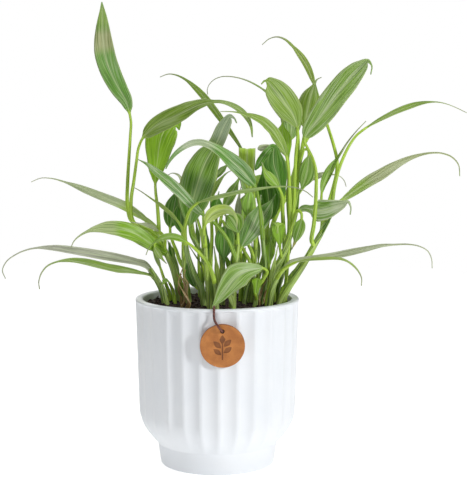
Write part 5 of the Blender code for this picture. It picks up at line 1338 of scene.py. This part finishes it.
def addLeaf(whole, start, form, tintAndPaintedLightSpans, rng):
    stalk = seenLine(form["stalk"], start[1].y / mm, form["depth"][0])
    blade = seenLine(form["blade"], *form["depth"])
    line = SmoothLine([start[0], start[1], *stalk, *blade])
    base = line.distanceTo(2 + len(stalk))
    half = trueHalf(line, base, form)
    turnStations, turns = leafTurns(line, base, form)
    distances = [0.0, *line.stations(0, base, bladeForm["stalkStep"], 4, math.radians(12))]
    distances += line.stations(base, line.length, bladeForm["bladeStep"], 12, math.radians(12))
    points = bladeForm["points"]
    bm, layers, table = ringedTube(points, len(distances))
    upper, under, silver, dark = leafLooks[form["look"]]
    upper, under = toLinear(upper), toLinear(under)
    stalkColour, tailColour = toLinear(stalkGreen["stalk"]), toLinear(stalkGreen["tail"])
    stalkColour = mixed(stalkColour, upper, form["foot"])
    if form["look"] == "dry":
        stalkColour = tailColour = upper
    shift, waves, phase = rng.uniform(0, 40), rng.uniform(*bladeForm["waves"]), rng.uniform(0, math.tau)
    before, tailFade, tailMost = bladeForm["tailColour"]
    fade = bladeForm["tintFade"]
    for row, distance in zip(table, distances):
        share = max(distance - base, 0) / (line.length - base)
        upStalk = clamped(distance / base)
        flatness = smooth(upStalk if form["foot"] else clamped(share / bladeForm["flatBy"]))
        radius = between(bladeForm["sheathRadius"], bladeForm["stalkRadius"], upStalk)
        body = half * halfWidth(form, share)
        width = max(body, threadHalf(form, half, share))
        rib = min(between(bladeForm["ribThickness"], bladeForm["thickness"], share), 1.6 * width)
        along = line.along(distance)
        up = turnAt(turnStations, turns, distance, along)
        side = up.cross(along)
        place = line.at(distance)
        blady = clamped(body / bladeForm["fullHalf"])  # how far this is from being a thread
        pleat = min(bladeForm["pleat"], width * bladeForm["pleatMost"]) * blady
        lift = bladeForm["wave"] * width * blady
        tail = 0 if form["outline"] else clamped((share - (1 - form["tail"]) + before) / tailFade)
        waved = waves * math.tau * share + phase
        for k, vert in enumerate(row):
            over = 1 if k <= points / 2 else -1
            across = 1 - 4 * k / points if over > 0 else -3 + 4 * k / points
            turn = math.tau * k / points
            flat = leafSection(across, waved, over, rib, width, pleat, lift)
            x = between(radius * math.cos(turn), across * width, flatness)
            z = between(radius * math.sin(turn), flat, flatness)
            vert.co = place + side * x + up * z
            colour = under if over < 0 and abs(across) < 0.99 else upper
            colour = mixed(stalkColour, colour, flatness)
            # the leaf's own tints, and painted shade and painted sheen, laid over stretches of the blade
            for (low, high), tint, strength in tintAndPaintedLightSpans:
                inside = clamped((share - low) / fade) * clamped((high + fade / 4 - share) / fade)
                colour = mixed(colour, tint, strength * inside)
            colour = mixed(colour, tailColour, tailMost * tail)
            bare = between(radius * turn, across * half, flatness) / mm
            paint(vert, layers, colour, across, bare, shift + distance / cm, silver * flatness, dark)
    joinTo(whole, bm)


def inSoil(shoot):
    # where a stem comes out of the soil, and the way that it points below that
    x, y = shoot["root"]
    collar = Vector((x * mm, y * mm, soilHeight + stemForm["collar"]))
    lean = (seenPoint(*shoot["stem"][0]) - collar).normalized()
    flat = Vector((lean.x, lean.y, 0))
    most = lean.z * math.tan(stemForm["mostLean"])
    if flat.length > most:
        flat *= most / flat.length
    return collar, Vector((flat.x, flat.y, lean.z)).normalized()


def stemLine(shoot):
    collar, up = inSoil(shoot)
    low = [collar - up * (stemForm["rootDepth"] - 0.0003), collar, collar + up * stemForm["upright"]]
    return SmoothLine([*low, *(seenPoint(*p) for p in shoot["stem"])])


def addStem(whole, shoot, line, stem, rng):
    # a stem of rolled sheaths: ribbed lengthwise, with a low step where each leaf leaves it
    points = stemForm["points"]
    distances = [0.0, *line.stations(0, line.length, stemForm["step"], 8, math.radians(10))]
    narrowing = [1.0] * len(distances) + [share for _, share in stemForm["cap"]]
    distances += [line.length + rise for rise, _ in stemForm["cap"]]
    bm, layers, table = ringedTube(points, len(distances))
    foot = toLinear(stalkGreen["foot"])
    shift, phase, up = rng.uniform(0, 40), rng.uniform(0, math.tau), None
    sheaths, (thinner, stepLength) = stemForm["sheaths"], stemForm["sheathStep"]
    leaves = sorted(form["at"] * line.length for form in shoot["leaves"])
    paleTo, greenFrom = stemForm["paleFoot"]
    for row, distance, narrow in zip(table, distances, narrowing):
        share = min(distance / line.length, 1)
        radius = shoot["radius"] * mm * between(stemForm["footSwell"], stemForm["topTaper"], share)
        for at in leaves:
            radius *= 1 + thinner * (0.5 - clamped((distance - at) / stepLength + 0.5))
        radius *= narrow
        along = line.along(min(distance, line.length - 0.0005))  # just inside the line's end
        up = upright(Vector((0, -1, 0.2)), along, up)
        side = up.cross(along)
        place = line.at(distance) + along * max(distance - line.length, 0)
        low = clamped((greenFrom - distance) / (greenFrom - paleTo))
        for k, vert in enumerate(row):
            turn = math.tau * k / points
            rib = abs(math.cos(sheaths / 2 * turn + phase)) - 0.6
            reach = radius * (1 + stemForm["ribs"] * rib)
            vert.co = place + side * reach * math.cos(turn) + up * reach * math.sin(turn)
            # a crease, like a crest, shows as a pale line: in the creases the pale edge of a rolled sheath,
            # on the crests a painted highlight
            across = math.cos(sheaths * turn + 2 * phase)
            paint(
                vert, layers, mixed(stem, foot, low), across, radius / mm * turn, shift + distance / cm,
                *stemForm["streaks"],
            )
    joinTo(whole, bm)


tissue = {
    "drift": 0.8,  # mm that the veins move out from the midrib in each cm along the leaf
    # cells to the mm across and to the cm along, noise detail
    "bands": (0.34, 0.30, 1.5),
    "streaks": (1.65, 0.30, 2.0),
    "hairs": (1.6, 0.2, 1.0),
    "fineShare": 0.70,  # of the streaks, against the broad bands
    "silver": "#C2CCAE",
    "shadow": "#6C8C40",  # multiplies the green in the dark streaks
    "vein": "#CFDDA0",
    # pale edges: a painted highlight along the blades' edges and the stems' crests, and the pale edge of a
    # rolled sheath in the stems' creases
    "paleEdgeAndHighlight": "#B9CC6E",
}


def leafTissue():
    # living leaf: satin skin over soft green flesh; veins that run out from the midrib, with
    # broken silver and dark streaks between them, and a lengthwise grain in the highlights
    made, tree, shader = newMaterial("living_leaf", Roughness=0.40, IOR=1.45, Specular_IOR_Level=0.42)
    read = {
        name: addNode(tree, "Attribute", {"attribute_name": name}).outputs["Fac"] for name in leafReads
    }
    green = addNode(tree, "Attribute", {"attribute_name": "leafColour"}).outputs["Color"]
    reach = addMath(tree, "ABSOLUTE", read["side"])
    drifted = addMath(tree, "MULTIPLY_ADD", read["along"], -tissue["drift"], reach)
    half = addMath(tree, "SIGN", read["side"])
    place = addNode(tree, "CombineXYZ", inputs={"X": drifted, "Y": read["along"], "Z": half}).outputs[0]
    runs = {}
    for k, name in enumerate(("bands", "streaks", "hairs")):
        perMm, perCm, detail = tissue[name]
        at = addNode(tree, "Mapping", inputs={
            "Vector": place, "Scale": (perMm, perCm, 2.0 + k), "Location": (0, 0, 7.0 * k),
        }).outputs[0]
        runs[name] = addNoise(tree, at, 1.0, detail)
    both = addNode(tree, "Mix", {"data_type": "FLOAT"}, {
        0: tissue["fineShare"], 2: runs["bands"], 3: runs["streaks"],
    }).outputs[0]
    edge = addMath(tree, "ABSOLUTE", read["across"])

    colour = green
    # (value, where none of it shows, where all shows, most, share of the leaf's own, blend, tint)
    for value, none, whole, most, own, blend, tint in (
        (both, 0.52, 0.36, 1.0, read["dark"], "MULTIPLY", tissue["shadow"]),
        (runs["hairs"], 0.54, 0.70, 0.28, None, "MIX", tissue["vein"]),
        (runs["hairs"], 0.47, 0.30, 0.65, read["dark"], "MULTIPLY", tissue["shadow"]),
        (both, 0.52, 0.59, 0.80, read["silver"], "MIX", tissue["silver"]),
        (edge, 0.26, 0.08, 0.45, read["silver"], "MIX", tissue["silver"]),
        (edge, 0.72, 0.90, 0.40, read["silver"], "MIX", tissue["silver"]),
        (edge, 0.05, 0.02, 0.45, None, "MIX", tissue["vein"]),
        # painted highlight: pale along the blades' edges and the stems' crests, with the sheaths' pale
        # edges in the creases
        (edge, 0.90, 0.99, 0.6, None, "MIX", tissue["paleEdgeAndHighlight"]),
    ):
        share = addRange(tree, value, (none, whole), (0.0, most))
        if own:
            share = addMath(tree, "MULTIPLY", share, own)
        colour = addNode(tree, "Mix", {"data_type": "RGBA", "blend_type": blend}, {
            0: share, 6: colour, 7: toLinear(tint),
        }).outputs[2]
    tree.links.new(colour, shader.inputs["Base Color"])
    addBump(tree, shader, 0.3, 0.0002, runs["streaks"])
    return made


def makeShoots():
    living = leafTissue()
    tints = {}
    for name, index, span, tint, strength in leafTintsAndPaintedLight:
        tints.setdefault((name, index), []).append((span, toLinear(tint), strength))
    pale, shady = toLinear(stalkGreen["stem"]), toLinear(stalkGreen["shady"])
    for order, (name, shoot) in enumerate(shoots.items()):
        rng = random.Random(100 + order)
        whole = bmesh.new()
        line = stemLine(shoot)
        addStem(whole, shoot, line, mixed(pale, shady, rng.choice((0.0, 0.2, 0.5, 0.85))), rng)
        for i, form in enumerate(shoot["leaves"]):
            distance = form["at"] * line.length
            start = line.at(distance - bladeForm["sunk"]), line.at(distance)
            addLeaf(whole, start, form, tints.get((name, i), []), rng)
        settle(newObject(whole, name + "_leaves", [living]), "leaf", name)
    whole, rng = bmesh.new(), random.Random(70)
    for root, form in youngGrowth:
        collar = Vector((root[0] * mm, root[1] * mm, soilHeight + sproutForm["collar"]))
        addLeaf(whole, (collar - Vector((0, 0, sproutForm["rootDepth"])), collar), form, [], rng)
    settle(newObject(whole, "young_growth", [living]), "leaf")


makeShoots()
print("plant made")
